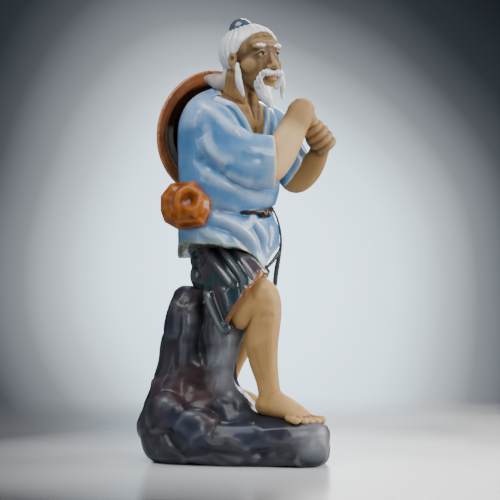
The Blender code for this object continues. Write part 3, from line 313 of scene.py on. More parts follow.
# The rock, as rings from the underside up: (x, y, z, half-width, half-depth).
SEAT_ROCK = [
    (-6, 0, 0, 40, 30),
    (-7, 0, 4, 44, 33),
    (-10, 1, 12, 43.5, 35),
    (-14, 1, 21, 40, 34),
    (-20, 2, 31, 31.5, 30),
    (-23, 2, 42, 25.5, 27),
    (-22.5, 2, 54, 22.5, 25),
    (-22.5, 1, 66, 19.5, 23),
    (-22.5, 0, 78, 16.5, 21),
    (-22.5, 0, 88, 14, 19),
    (-22.5, 0, 94, 12, 16),
    (-22, 0, 97.3, 8.5, 11),
]
BUTTRESS = [
    (1, -16, 10, 24, 17),
    (0, -16, 22, 19, 16),
    (-4, -15, 31, 13.5, 14),
    (-6.5, -14, 41, 9.5, 12.5),
    (-9, -13.5, 50, 7.4, 11.5),
    (-8, -13, 58, 8.5, 11.5),
    (-6.5, -12, 66, 9.8, 12),
    (-4.5, -12, 76, 11.2, 12),
    (-3, -11, 84, 9.5, 11),
]
# The ledge that carries the near foot: its outline where it is widest, then (height, inset) of each ring.
LEDGE = [
    (-44, -24), (-28, -33), (-8, -37), (10, -40), (26, -45), (40, -47), (49.5, -42), (52.5, -32), (51, -18),
    (46, 0), (40, 16), (28, 29), (12, 36), (-8, 38), (-28, 34), (-43, 22), (-49, 0),
]
LEDGE_RINGS = [(0, 5.5), (3, 1.8), (8, 0.3), (15, 0), (19, 0.8), (22.5, 3.2), (25, 9), (26.5, 16)]
ROCK_LUMPS = [
    ((-42.5, -12, 20), (9.6, 14, 18), (0, 12, 20)),
    ((-38, -20, 26), (13, 11, 15), (20, 0, -20)),
    ((-20, -26, 20), (17, 10, 11), (0, 0, 10)),
    ((-34, 10, 55), (12, 14, 26), (0, 12, 0)),
    ((-28, 22, 40), (18, 12, 24), (10, 0, 10)),
    ((2, 22, 19), (22, 14, 8), (0, 0, 0)),
    ((-30, -9, 74), (10, 11, 22), (0, 4, 0)),
    ((22, -30, 19), (22, 12, 7), (0, 4, -10)),
    ((42, -30, 14), (10, 13, 9), (0, 0, 0)),
]
ROCK_DENTS = [
    ((-21, -28, 47), 12, 4.5),
    ((-18, -27, 62), 11, 3.0),
    ((-33, -33, 15), 9, 1.6),
    ((14, -43, 6), 9, 2.2),
    ((-46, -8, 60), 16, 2.0),
    ((-20, 30, 60), 18, 3.5),
    ((10, 38, 10), 12, 3.0),
]
# Strokes in the rock as seen by the viewer: (kind, width, depth, points across and up).
ROCK_STROKES = [
    ("groove", 3.0, 3.0, [(-18.5, 96), (-18, 88), (-17.5, 79), (-19.5, 66), (-18.5, 52)]),
    ("ridge", 3.4, 1.6, [(-4, 72), (-5, 60), (-7, 48), (-10, 38)]),
    ("ridge", 3.6, 1.0, [(-28, 90), (-27.5, 76), (-29, 62), (-31, 50)]),
    ("groove", 3.2, 0.9, [(-36, 70), (-34, 58), (-38, 46), (-44, 38)]),
    ("ridge", 3.4, 1.3, [(-46, 36), (-34, 33), (-23, 29), (-13, 33), (0, 33)]),
    ("ridge", 2.6, 1.5, [(-26, 12), (-19, 19), (-12, 13.5), (-4, 16), (4, 12)]),
    ("groove", 2.2, 1.6, [(-20, 12), (-6, 9), (12, 8), (28, 11)]),
    ("groove", 2.2, 1.2, [(-38, 22), (-35, 13), (-28, 7)]),
    ("ridge", 2.2, 1.3, [(12, 19), (24, 15), (36, 17), (48, 20)]),
    ("groove", 1.8, 1.2, [(34, 15), (32, 8), (27, 3)]),
    ("ridge", 2.2, 1.0, [(4, 12), (9, 6), (13, 3)]),
]


def relax(obj, times):
    """Softens the rock's skin once more, with the steps counted for a mesh of AREA_VOXEL."""
    soften_skin(obj, times, AREA_VOXEL)
    evaluated(obj)


def inset_outline(points, inset):
    ring = round_outline(points, 4)
    way = np.roll(ring, -1, axis=0) - np.roll(ring, 1, axis=0)
    way /= np.linalg.norm(way, axis=1)[:, None]
    inward = np.column_stack([-way[:, 1], way[:, 0]])
    return ring + inward * inset


def flatten(obj):
    """Cuts the underside level with the ground."""
    mesh = obj.data
    co = positions(mesh)
    co[:, 2] = np.maximum(co[:, 2], 0.0)
    move_to(mesh, co)


def rock():
    bm = bmesh.new()
    for stations, count in ((SEAT_ROCK, 14), (BUTTRESS, 11)):
        rings = []
        for k, (x, y, z, a, b) in enumerate(through(stations, 2)):
            ring = oval((x, y, z), (1, 0, 0), (0, 1, 0), a, b, count, 2.6)
            wobble = 1 + 0.05 * np.sin(2.4 * np.arange(count) + 0.55 * k)
            ring[:, :2] = (x, y) + (ring[:, :2] - (x, y)) * wobble[:, None]
            rings.append(ring)
        loft(bm, rings)
    ledge = [(z, inset_outline(LEDGE, inset)) for z, inset in LEDGE_RINGS]
    loft(bm, [np.column_stack([ring, np.full(len(ring), z)]) for z, ring in ledge])
    for centre, radii, turn in ROCK_LUMPS:
        ball(bm, centre, radii, turn)
    obj = press(bm, "rock", voxel=ROCK_VOXEL, soften=3)
    chip(obj, size=23.0, depth=5.5, seed=3)
    dent(obj, ROCK_DENTS)
    relax(obj, 7)
    carve(obj, ROCK_STROKES)
    relax(obj, 5)
    flatten(obj)
    return obj


# The robe's rings from the neck down: (x, y, z, half-width, half-depth, fall to the front), square to the
# way the torso faces.
ROBE = [
    (0.0, -1.5, 204.5, 13.5, 12.5, 0.45),
    (-1.5, -1, 202.5, 23, 17, 0.25),
    (-3, 0, 197.5, 30, 19.5, 0.12),
    (-4, 0.5, 190, 33, 22, 0),
    (-5, 0.5, 180, 31, 24, 0),
    (-4.4, 0, 168, 29.5, 26, 0),
    (-3.6, -0.5, 155, 29.5, 26.5, 0),
    (-4, 0, 146, 29, 24.5, 0),
    (-4.4, 0, 140.5, 27.5, 23, 0),
    (-4, 0, 131, 31, 25.2, 0),
    (-4, 0, 123, 31, 25.2, 0),
]
HEM_HEIGHT = 122.0
HEM_FLARE = 1.02
# The front panel of the robe hangs to a point, and the back falls lower than the sides.
FRONT_DROP = 8.0
FRONT_SPREAD = 36.0
FLAP_DROP = 6.5
FLAP_SPREAD = 10.0
BACK_DROP = 8.5
BACK_FROM = 106.0
BACK_TO = 136.0

# The opening over the chest, as (across, up) when seen from the front of the torso.
NECK_OPENING = [
    (-21, 211), (-18.5, 204), (-15.5, 198), (-12, 191), (-8, 183), (-2, 172), (4, 184), (6.5, 190), (10, 200),
    (13, 211),
]

OPENING_DEPTH = 4.5
# The lapels lie along the sides of the opening: how far out their ridge and their outer crease run.
LAPEL_RIDGE = 1.3
LAPEL_CREASE = 4.6
FAR_LAPEL = 0.15  # how bold the far lapel is, as a share of the near one

ROBE_STROKES = [
    ("ridge", 2.6, 1.0, [(-22, 202), (-14, 196), (-6, 189)]),
    ("groove", 3.0, 1.2, [(-23, 171), (-16, 166), (-6, 160), (5, 152)]),
    ("ridge", 3.0, 0.7, [(-20, 164), (-11, 158), (0, 152), (12, 147)]),
    ("groove", 2.0, 1.3, [(-13, 141), (-2, 139.5), (8, 137)]),
    ("ridge", 2.2, 1.5, [(-14, 138), (-3, 134), (7, 127), (13, 119)]),
    ("groove", 2.0, 1.3, [(-15, 133), (-2, 128), (6, 120.5), (10, 115)]),
    ("ridge", 2.4, 1.0, [(-21, 131), (-9, 124), (-2, 118)]),
    ("groove", 1.7, 1.2, [(9, 133), (13, 125), (15, 116)]),
    ("ridge", 1.7, 1.1, [(12, 134), (17, 125), (17, 114)]),
    ("groove", 1.5, 0.9, [(19, 134), (20, 126), (17, 118)]),
]
# The hollow of the back, where the lower edge of the hat lies on the cloth: (place, radius, depth).
BACK_HOLLOW = ((-18.5, 22.5, 148), 20, 4.6)
ROBE_BACK_STROKES = [
    ("groove", 2.6, 1.3, [(-20, 180), (-8, 172), (0, 160), (4, 148)]),
    ("groove", 2.6, 1.3, [(22, 182), (12, 170), (9, 156), (8, 146)]),
    ("ridge", 2.4, 1.1, [(-12, 136), (-8, 126), (-9, 116)]),
    ("groove", 2.2, 1.1, [(-3, 137), (0, 126), (-1, 116)]),
    ("ridge", 2.4, 1.1, [(10, 136), (12, 126), (12, 116)]),
    ("groove", 2.2, 1.1, [(18, 136), (20, 126), (20, 118)]),
]


def offset_line(points, gap):
    """A row of points moved to its left by a gap."""
    p = np.asarray(points, float)
    way = np.gradient(p, axis=0)
    way /= np.linalg.norm(way, axis=1)[:, None]
    return [tuple(q) for q in p + np.column_stack([-way[:, 1], way[:, 0]]) * gap]


def lapels():
    """Strokes along both sides of the opening: the raised edge and the crease outside it."""
    low = min(range(len(NECK_OPENING)), key=lambda i: NECK_OPENING[i][1])
    strokes = []
    for side, share in ((NECK_OPENING[:low + 1], 1.0), (NECK_OPENING[low:], FAR_LAPEL)):
        strokes.append(("ridge", 1.1, 1.3 * share, offset_line(side, -LAPEL_RIDGE)))
        strokes.append(("groove", 1.0, 1.1 * share, offset_line(side, -LAPEL_CREASE)))
    return strokes


def robe_ring(x, y, z, a, b, fall, inset=0.0, count=48):
    fore, right = heading(TORSO_TURN)
    ring = oval((x, y, z), right, fore, a - inset, b - inset, count, 2.15)
    ring[:, 2] -= fall * ((ring - (x, y, z)) @ fore)
    return ring


def drop_at(ring, centre):
    """How far the hem hangs below its height, all round."""
    fore, right = heading(TORSO_TURN)
    out = ring - centre
    angle = np.degrees(np.arctan2(out @ right, out @ fore))
    front = FRONT_DROP * np.exp(-((angle / FRONT_SPREAD) ** 2))
    front += FLAP_DROP * np.exp(-((angle / FLAP_SPREAD) ** 2))
    share = np.clip((np.abs(angle) - BACK_FROM) / (BACK_TO - BACK_FROM), 0, 1)
    return front + BACK_DROP * share**2 * (3 - 2 * share)


def sink(obj, outline, depth, azimuth):
    """Presses the inside of an outline into a skin, as seen from an azimuth, with a crisp edge."""
    mesh = obj.data
    co = positions(mesh) / GRID
    right, near = seen_from(azimuth)
    flat = np.column_stack([co @ right, co[:, 2]])
    edge = np.asarray(outline, float)
    inside = np.zeros(len(co), bool)
    gap = np.full(len(co), 1e9)
    for p, q in zip(edge, np.roll(edge, -1, axis=0)):
        crosses = (p[1] > flat[:, 1]) != (q[1] > flat[:, 1])
        rise = np.where(crosses, q[1] - p[1], 1.0)
        inside ^= crosses & (flat[:, 0] < (q[0] - p[0]) * (flat[:, 1] - p[1]) / rise + p[0])
        way = q - p
        share = np.clip(((flat - p) @ way) / (way @ way), 0, 1)
        gap = np.minimum(gap, np.linalg.norm(flat - p - share[:, None] * way, axis=1))
    weight = np.where(inside, np.clip(gap / 0.9, 0, 1), 0.0) * (co @ near > 0)
    move_to(mesh, (co - near * (weight * depth)[:, None]) * GRID)


def robe():
    bm = bmesh.new()
    rings = [robe_ring(*s) for s in through(ROBE, 3)]
    x, y, z, a, b, fall = ROBE[-1]
    for share, flare in ((0.55, 1.012), (1.0, HEM_FLARE)):
        ring = robe_ring(x, y, z, a * flare, b * flare, fall)
        ring[:, 2] = z - share * (z - HEM_HEIGHT + drop_at(ring, np.array((x, y, z))))
        rings.append(ring)
    inner = rings[-1].copy()
    centre = inner.mean(0)
    inner[:, :2] = centre[:2] + (inner[:, :2] - centre[:2]) * (1 - HEM_WALL / GRID / b)
    rings.append(inner)
    loft(bm, rings)
    obj = press(bm, "robe", soften=5)
    dent(obj, [BACK_HOLLOW])
    front = 90 - TORSO_TURN
    sink(obj, NECK_OPENING, OPENING_DEPTH, azimuth=front)
    carve(obj, lapels(), azimuth=front, reach=(2, 999))
    carve(obj, ROBE_STROKES)
    carve(obj, ROBE_BACK_STROKES, azimuth=180)
    return obj


# The collar runs round the back of the neck: (x, y, z) along its middle.
COLLAR = [
    (-7.0, -9.6, 202.6), (-9.0, -6.8, 204.8), (-10.4, -2, 206.4), (-9, 4.8, 207), (-3.2, 8.4, 207),
    (4.4, 8.8, 205.4), (9, 6.4, 202.4),
]


def collar():
    bm = bmesh.new()
    limb(bm, [(*p, 1.4, 1.9) for p in COLLAR], side=(0.766, -0.643, 0.35), steps=4)
    return press(bm, "collar", soften=2)


# The near sleeve's rings from the shoulder to the opening: (x, y, z, half-height, half-depth, lean).
NEAR_SLEEVE = [
    (-21, -13, 195, 8, 9, 45),
    (-17, -18, 190, 12, 11.5, 42),
    (-11, -21, 182, 13.5, 12, 34),
    (-3, -23, 174, 14.5, 11.5, 22),
    (5, -24, 169, 15.3, 11, 9),
    (13, -23.5, 167.5, 15.3, 10.5, 1),
    (20.5, -22.5, 167, 14.8, 10, 0),
]
NEAR_SLEEVE_STROKES = [
    ("ridge", 3.0, 1.4, [(-19, 200), (-14.5, 196), (-8, 190), (-2, 185.5), (6, 183)]),
    ("groove", 3.6, 0.7, [(-23, 190), (-17, 182), (-9, 178), (1, 178)]),
    ("ridge", 2.4, 0.8, [(-17, 184), (-14.5, 175), (-8.5, 168.5), (-3, 167)]),
    ("ridge", 2.4, 0.8, [(-7, 161.5), (2, 158), (10, 155)]),
    ("groove", 2.6, 0.5, [(2, 171), (9, 169), (16, 169)]),
]
CUFF_DEPTH = 5.0
# The ways the sleeves point, seen from above.
NEAR_SLEEVE_WAY = (0.99, 0.12)
FAR_SLEEVE_WAY = (0.97, 0.24)


def sleeve(stations, name, way, hollow):
    """A wide sleeve: rings that stand upright and lean, with a hollow end the arm comes out of."""
    bm = bmesh.new()
    rings = []
    path = through(stations, 3)
    for x, y, z, a, b, lean in path:
        t = math.radians(lean)
        up = np.array((math.sin(t) * way[0], math.sin(t) * way[1], math.cos(t)))
        forward = np.array((way[0], way[1], 0.0))
        side = np.cross(up, forward)
        rings.append(oval((x, y, z), up, side, a, b, 32, 2.3))
    last = path[-1]
    t = math.radians(last[5])
    up = np.array((math.sin(t) * way[0], math.sin(t) * way[1], math.cos(t)))
    forward = np.cross(np.cross(up, (way[0], way[1], 0.0)), up)
    middle = rings[-1].mean(0)
    rings.append(middle + (rings[-1] - middle) * 0.985 + forward * 0.7)
    rings.append(middle + (rings[-2] - middle) * (1 - hollow / last[4]) + forward * 0.3)
    rings.append(middle + (rings[-3] - middle) * (1 - 1.5 * hollow / last[4]) - forward * CUFF_DEPTH)
    loft(bm, rings)
    return press(bm, name, soften=2)


# The far sleeve hangs from the shoulder to the far elbow, and opens down and to the right.
FAR_SLEEVE = [
    (10, 16, 196, 9, 11, 50),
    (17, 17, 190, 11.5, 12, 46),
    (23, 16, 182, 12.5, 11.5, 42),
    (28.4, 14, 173.0, 12.7, 11, 36),
    (33.4, 12.2, 164.6, 12.4, 10.5, 33),
]


def sleeves():
    near = sleeve(NEAR_SLEEVE, "near sleeve", NEAR_SLEEVE_WAY, HEM_WALL / GRID)
    carve(near, NEAR_SLEEVE_STROKES)
    far = sleeve(FAR_SLEEVE, "far sleeve", FAR_SLEEVE_WAY, HEM_WALL / GRID)
    return [near, far]


# Arms: (x, y, z, half-width along the line of sight, half-width square to it).
NEAR_ARM = [
    (12, -23, 163, 7.5, 7.5),
    (18.5, -22, 163.5, 7.8, 8.4),
    (24, -19.5, 170.5, 8.0, 8.8),
    (28.3, -17, 179, 7.8, 8.5),
    (32.4, -14.5, 187.5, 7.4, 7.8),
    (35.6, -12.5, 193.5, 7.4, 7.7),
    (37, -11.5, 196.5, 7.0, 7.4),
]
FAR_ARM = [
    (22, 15, 171, 6, 6),
    (29, 14, 161.5, 6.6, 6.6),
    (34, 13, 157.6, 7.4, 7.4),
    (40, 9.5, 162, 7.2, 7.4),
    (44.3, 6, 168, 6.2, 6.5),
    (46.8, 3.8, 173.5, 5.4, 5.6),
    (48.0, 3.0, 179, 5.0, 5.6),
]
# A fist: (middle, way along the gripped axis, way the knuckles point, size of a finger, end with the thumb).
NEAR_FIST = ((37.4, -5.8, 192.4), (0.54, 0.49, -0.69), (0.55, -0.35, 0.75), 2.3, -1)
NEAR_KNUCKLES = ((36.2, -12, 194.8), (8.0, 6.8, 7.6), (0, 30, 0))
FAR_FIST = ((46.6, -1.0, 181.6), (-0.58, -0.30, 0.76), (0.74, 0.22, 0.64), 2.4, 1)


def ball_in(bm, centre, ways, radii):
    """An ellipsoid with its half-axes along three given ways, square to one another."""
    turn = Matrix([[*(w[i] * r for w, r in zip(ways, radii))] for i in range(3)]).to_4x4()
    place = Matrix.Translation(Vector(centre) * GRID) @ Matrix.Diagonal((GRID, GRID, GRID, 1.0)) @ turn
    bmesh.ops.create_uvsphere(bm, **BALL_MESH, matrix=place)


# A fist in shares of a finger's thickness: the back of the hand and the palm, the spread of the fingers, the
# reach of each, and the thumb as (degrees round the grip, along the grip).
HAND_BACK = (3.1, 2.0, 3.15)
PALM = (2.2, 2.1, 3.1)
FINGER_GAP = 1.72
FINGER_REACH = (0.95, 1.03, 1.0, 0.9)
FINGER_ANGLES = range(-40, 216, 32)  # round the grip from the knuckle to the tip, in degrees
FINGER_CURL = 2.3
THUMB = ((262, 0.9), (240, 2.0), (205, 2.7), (165, 2.8))
THUMB_CURL = 2.0


def fist(bm, middle, axis, knuckles, finger, thumb_end):
    """A hand closed round an axis: the back of the hand, four curled fingers, and the thumb over them."""
    axis = unit(axis)
    out = unit(np.asarray(knuckles) - axis * np.dot(knuckles, axis))
    over = np.cross(out, axis)
    middle = np.asarray(middle, float)
    ways = (out, over, axis)
    ball_in(bm, middle - over * 2.2 + out * 0.3, ways, [finger * r for r in HAND_BACK])
    ball_in(bm, middle, ways, [finger * r for r in PALM])
    for i, length in enumerate(FINGER_REACH):
        base = middle + axis * (i - 1.5) * FINGER_GAP * finger
        points = []
        for angle in FINGER_ANGLES:
            t = math.radians(angle)
            reach = FINGER_CURL * finger * length * (1.0 - 0.0004 * max(angle, 0))
            p = base + out * reach * math.cos(t) + over * 0.95 * reach * math.sin(t)
            points.append((*p, finger * 0.98, finger * 0.92))
        limb(bm, points, side=axis, steps=3, count=12)
    thumb = []
    for angle, along in THUMB:
        t = math.radians(angle)
        round_grip = (out * math.cos(t) + over * math.sin(t)) * THUMB_CURL * finger
        thumb.append((*(middle + axis * thumb_end * along * finger + round_grip), finger * 1.05, finger))
    limb(bm, thumb, side=axis, steps=4, count=12)


def arms():
    bm = bmesh.new()
    limb(bm, NEAR_ARM)
    fist(bm, *NEAR_FIST)
    ball(bm, *NEAR_KNUCKLES)
    near = press(bm, "near arm", soften=2)
    bm = bmesh.new()
    limb(bm, FAR_ARM)
    fist(bm, *FAR_FIST)
    far = press(bm, "far arm", soften=2)
    return [near, far]


# Trousers: rings square to each thigh (x, y, z, half-height, half-width).
NEAR_TROUSER = [
    (-13, -2, 111, 14, 17),
    (-7, -9, 108, 16.5, 16),
    (-0.5, -18, 100, 18, 14.5),
    (5.4, -25, 90.0, 20.4, 12.8),
]
FAR_TROUSER = [(-6, 8, 112, 15, 14), (2, 13, 108, 14.5, 13), (8, 16, 102, 14, 12), (12, 16, 95, 14, 11)]
SEAT = [((-6, 2, 113), (20, 21, 14)), ((-10.5, -1, 104), (15.5, 17, 13))]
THIGH_WAY = (0.80, -0.22, -0.57)
FAR_THIGH_WAY = (0.86, 0.10, -0.50)
TROUSER_STROKES = [
    ("ridge", 2.2, 1.6, [(-18, 124), (-13, 114), (-5, 103), (0, 97)]),
    ("groove", 1.8, 1.6, [(-15, 126), (-9, 115), (-1, 105), (3, 98)]),
    ("ridge", 1.9, 1.7, [(-11, 124), (-4, 113), (3, 103), (5, 94)]),
    ("groove", 1.8, 1.4, [(-5, 122), (2, 112), (9, 101)]),
    ("ridge", 1.7, 1.3, [(-5, 98), (-3, 92), (-2, 86)]),
    ("groove", 1.6, 1.0, [(-14.5, 96), (-11.5, 87), (-6.5, 77)]),
    ("ridge", 1.7, 1.2, [(-8, 100), (-5.5, 92), (-3, 84)]),
    ("groove", 1.8, 1.3, [(-24, 120), (-22, 108), (-20, 100)]),
    ("ridge", 1.6, 0.9, [(6, 119), (12, 111), (14, 106)]),
]


# The back corner of the near trouser leg hangs down as a tongue: its outline as (across, up) seen by the
# viewer, then (depth, inset) of each ring from the back to the front.
TROUSER_FLAP = [(-16.5, 97), (-17.6, 92), (-8.6, 73.4), (-0.6, 75.2), (-2.6, 80.5), (1, 88), (-3, 97)]
FLAP_RINGS = [(-14, 1.5), (-16.5, 0), (-29, 0), (-31.5, 1.8)]
FLAP_LEAN = 0.35  # how far it leans in, for each unit of height
FLAP_MIDDLE = 80


def trouser_leg(bm, stations, thigh, wall):
    way = unit(thigh)
    up = unit(np.array((0.0, 0.0, 1.0)) - way * way[2])
    side = np.cross(up, way)
    rings = [oval(s[:3], up, side, s[3], s[4], 32, 2.5) for s in through(stations, 4)]
    middle = rings[-1].mean(0)
    edge = rings[-1]
    rings.append(middle + (edge - middle) * 0.98 + way * 0.8)
    rings.append(middle + (edge - middle) * (1 - wall / stations[-1][4]) + way * 0.2)
    rings.append(middle + (edge - middle) * (1 - 1.5 * wall / stations[-1][4]) - way * CUFF_DEPTH)
    loft(bm, rings)


def trousers():
    bm = bmesh.new()
    for lump in SEAT:
        ball(bm, *lump)
    flat = [(depth, inset_outline(TROUSER_FLAP, inset)) for depth, inset in FLAP_RINGS]
    for i, (depth, ring) in enumerate(flat):
        flat[i] = np.column_stack([ring[:, 0], depth + FLAP_LEAN * (ring[:, 1] - FLAP_MIDDLE), ring[:, 1]])
    loft(bm, flat)
    trouser_leg(bm, NEAR_TROUSER, THIGH_WAY, HEM_WALL / GRID)
    trouser_leg(bm, FAR_TROUSER, FAR_THIGH_WAY, HEM_WALL / GRID)
    obj = press(bm, "trousers", soften=3)
    carve(obj, TROUSER_STROKES)
    return obj


# Legs from the knee to the ankle: (x, y, z, half-depth, half-width).
NEAR_LEG = [
    (4, -17, 95, 8.5, 9),
    (10, -22, 95.5, 9.2, 9.2),
    (14.6, -26.5, 93, 9.8, 9.6),
    (15.2, -27.5, 85, 9.6, 10.2),
    (14.8, -26, 76, 9.6, 9.8),
    (14.4, -25, 67, 9.4, 9.2),
    (15.4, -24, 57, 8.2, 8.0),
    (17.4, -23, 47.5, 6.4, 6.6),
    (18.6, -22.8, 40, 5.9, 6.3),
    (19, -22.6, 33.5, 6.4, 7.2),
]
NEAR_LEG_STROKES = [
    ("ridge", 2.2, 0.6, [(12, 99), (17.5, 98.5), (19.5, 93)]),
    ("groove", 2.2, 0.4, [(13, 84), (17, 82.5), (21, 84)]),
    ("ridge", 2.4, 0.5, [(20, 80), (19.8, 66), (20, 52)]),
    ("groove", 2.0, 0.5, [(9.5, 66), (12, 56), (15, 46)]),
]
# The thigh fills the opening of the trouser leg; the knee cap and the instep round off the limb.
NEAR_THIGH = ((8.0, -25.6, 88.0), (10.4, 10.6, 14.4), (0, 35, 0))
NEAR_THIGH_FRONT = ((11.6, -27.4, 88), (8.6, 9.2, 11.5), (0, 22, 0))
NEAR_KNEE = ((16.6, -31, 91), (6.6, 6, 7))
NEAR_INSTEP = ((22.4, -24.8, 35.2), (5.6, 5.6, 6.4))
FAR_KNEE = ((14, 13.5, 91), (6.5, 6, 6.5))
FAR_LEG = [
    (6, 15, 97, 8, 8),
    (12, 15, 95, 8.6, 8.4),
    (13, 15.5, 89, 8.6, 8.4),
    (8, 17.5, 76, 8.6, 8.2),
    (1.5, 20.5, 62, 7.6, 7.2),
    (-3, 23.5, 50, 5.8, 5.8),
    (-5.5, 25.5, 40, 5.0, 5.4),
    (-6.6, 26, 30, 5.4, 5.8),
]


# A foot, in shares of its length and width: (along, across, up) with the half-sizes there, from the heel on.
FOOT_STATIONS = [
    ((-0.02, 0, 6.0), (5.6, 5.8)),
    ((0.16, 0.0, 7.6), (6.4, 7.2)),
    ((0.34, 0.03, 7.0), (6.9, 6.6)),
    ((0.52, 0.05, 5.4), (7.4, 5.2)),
    ((0.68, 0.03, 3.8), (7.8, 3.8)),
]
FOOT_PADS = [((0.66, 0.24, 2.9), (4.6, 4.6, 2.9)), ((0.60, -0.24, 2.5), (4.4, 4.4, 2.5))]
# The toes from the big one on: (across, reach, half-thickness).
TOES = [(0.36, 1.0, 2.7), (0.13, 1.0, 1.95), (-0.08, 0.95, 1.9), (-0.28, 0.89, 2.0), (-0.49, 0.80, 2.2)]
# The feet: (heel, turn in degrees, length, width, height of the ground at the heel, slope). The sign of the
# width says on which side the big toe is.
NEAR_FOOT = ((16.5, -20.5, 0), FOOT_TURN, 34.6, 17.5, 26.4, 0.11)
FAR_FOOT = ((-7, 27, 0), -6, 36, -15, 24.0, 0.06)


def foot(bm, heel, turn, length, width, ground, slope):
    """A bare foot: heel, arch and ball, and five toes."""
    a = math.radians(turn)
    fore = np.array((math.cos(a), -math.sin(a), -slope))
    inner = np.array((math.sin(a), math.cos(a), 0.0)) * math.copysign(1, width)
    w = abs(width)
    heel = np.asarray(heel, float)

    def at(along, across, up):
        p = heel + fore * along * length + inner * across * w
        return (p[0], p[1], ground - slope * along * length + up)

    limb(bm, [(*at(*place), *radii) for place, radii in FOOT_STATIONS], side=inner)
    for place, radii in FOOT_PADS:
        ball(bm, at(*place), radii)
    for across, reach, r in TOES:
        root = (*at(0.66, across * 0.92, 2.6), r, r)
        joint = (*at(reach - 0.14, across, 2.7), r * 0.86, r * 0.86)
        tip = (*at(reach - 0.05, across, r + 0.2), r, r * 0.95)
        limb(bm, [root, joint, tip], side=inner, steps=3, count=12)


def legs():
    bm = bmesh.new()
    limb(bm, NEAR_LEG)
    for lump in (NEAR_THIGH, NEAR_THIGH_FRONT, NEAR_KNEE, NEAR_INSTEP):
        ball(bm, *lump)
    foot(bm, *NEAR_FOOT)
    near = press(bm, "near leg", soften=3)
    carve(near, NEAR_LEG_STROKES)
    bm = bmesh.new()
    limb(bm, FAR_LEG)
    ball(bm, *FAR_KNEE)
    foot(bm, *FAR_FOOT)
    far = press(bm, "far leg", soften=3)
    return [near, far]


HEAD = np.array((9.0, -8.6, 226.0))
HEAD_SIZE = 1.08


def head_at(forward, right, up):
    """A place on the head, measured from its middle at the height of the eyes."""
    fore, side = heading(HEAD_TURN)
    t = math.radians(HEAD_LIFT)
    ahead = fore * math.cos(t) + np.array((0, 0, math.sin(t)))
    above = np.array((0, 0, math.cos(t))) - fore * math.sin(t)
    return HEAD + HEAD_SIZE * (ahead * forward + side * right + above * up)


def head_ball(bm, place, radii):
    """An ellipsoid on the head; its radii run forward, sideways and up."""
    ball(bm, head_at(*place), [r * HEAD_SIZE for r in radii], (0, -HEAD_LIFT, -HEAD_TURN))


# The face and skull: (forward, right, up) and radii (forward, sideways, up). A lump beside the middle is
# made on both sides.
SKULL = [
    ((-1.8, 0, 3.5), (16.6, 14.0, 13.4)),
    ((4.4, 0, -4.2), (11.6, 11.4, 13.2)),
    ((8.6, 0, 4.8), (6.6, 9.8, 5.4)),
    ((6.4, 6.2, -5.2), (6.6, 5.8, 6.2)),
    ((11.2, 0, -10.6), (4.4, 6.0, 4.4)),
    ((9.6, 0, -13.8), (4.8, 5.6, 4.0)),
    ((12.3, 4.8, 3.2), (2.5, 4.4, 1.7)),
    ((17.6, 0, -7.0), (2.1, 2.0, 1.9)),
    ((16.0, 2.2, -7.6), (1.6, 1.3, 1.4)),
    ((15.2, 0, -11.9), (1.6, 3.4, 0.9)),
    ((14.9, 0, -13.6), (1.6, 2.9, 1.1)),
    ((0.6, 13.7, -2.2), (3.1, 1.5, 4.8)),
]
EYES = [((11.8, 5.1, -0.5), (2.6, 3.1, 2.3))]
EARLOBE = ((2.0, 13.4, -6.6), (1.7, 1.3, 1.9))
# The nose's bridge, and the lids over and under each eye: (forward, right, up, half-thickness, half-width).
NOSE = [(13.6, 0, 1.2, 1.4, 1.3), (15.6, 0, -2.6, 1.6, 1.5), (17.6, 0, -6.4, 1.9, 1.8)]
UPPER_LID = [
    (12.6, 2.5, -0.7, 0.5, 0.5),
    (14.3, 3.8, 0.6, 0.75, 0.75),
    (14.3, 5.6, 0.9, 0.75, 0.75),
    (12.4, 7.7, -0.3, 0.5, 0.5),
]
LOWER_LID = [
    (12.6, 2.6, -1.0, 0.4, 0.4),
    (14.0, 4.2, -1.9, 0.6, 0.6),
    (13.9, 5.8, -1.9, 0.6, 0.6),
    (12.4, 7.5, -0.7, 0.4, 0.4),
]
EAR_HOLLOW = ((1.6, 15.4, -1.6), 2.6, 1.0)
NECK = [
    (-1, 0, 190, 12, 12),
    (2, -2.5, 200, 11.4, 11),
    (3.6, -5, 209, 10.4, 10.4),
    (4.5, -7, 217, 10.6, 10.6),
]
SKIN_INSET = 2.4  # how far the chest lies under the robe


# Tendons of the neck and the hollow between the collar bones, as (across, up) from the front of the torso.
CHEST_STROKES = [
    ("ridge", 1.5, 1.0, [(-10, 209), (-7, 200), (-3.5, 191)]),
    ("groove", 1.6, 1.1, [(-6.5, 207), (-4, 199), (-2, 190)]),
    ("groove", 1.6, 0.8, [(5, 206), (3.5, 198), (0.5, 189)]),
    ("groove", 1.8, 0.8, [(-2, 188), (-2.5, 182), (-2, 176)]),
]


def both_sides(place):
    forward, right, up = place
    return [(forward, right, up)] + ([(forward, -right, up)] if right else [])


def head_skin():
    bm = bmesh.new()
    for place, radii in [*SKULL, *EYES, EARLOBE]:
        for spot in both_sides(place):
            head_ball(bm, spot, radii)
    limb(bm, [(*head_at(*s[:3]), *s[3:]) for s in NOSE], steps=3, count=12)
    for lid in (UPPER_LID, LOWER_LID):
        for end in (1, -1):
            limb(bm, [(*head_at(a, b * end, c), t, w) for a, b, c, t, w in lid], steps=4, count=10)
    limb(bm, NECK)
    loft(bm, [robe_ring(*s, inset=SKIN_INSET) for s in through(ROBE[:6], 3)])
    obj = press(bm, "head", soften=2)
    place, width, depth = EAR_HOLLOW
    dent(obj, [(head_at(*spot), width, depth) for spot in both_sides(place)])
    carve(obj, CHEST_STROKES, azimuth=90 - TORSO_TURN)
    return obj


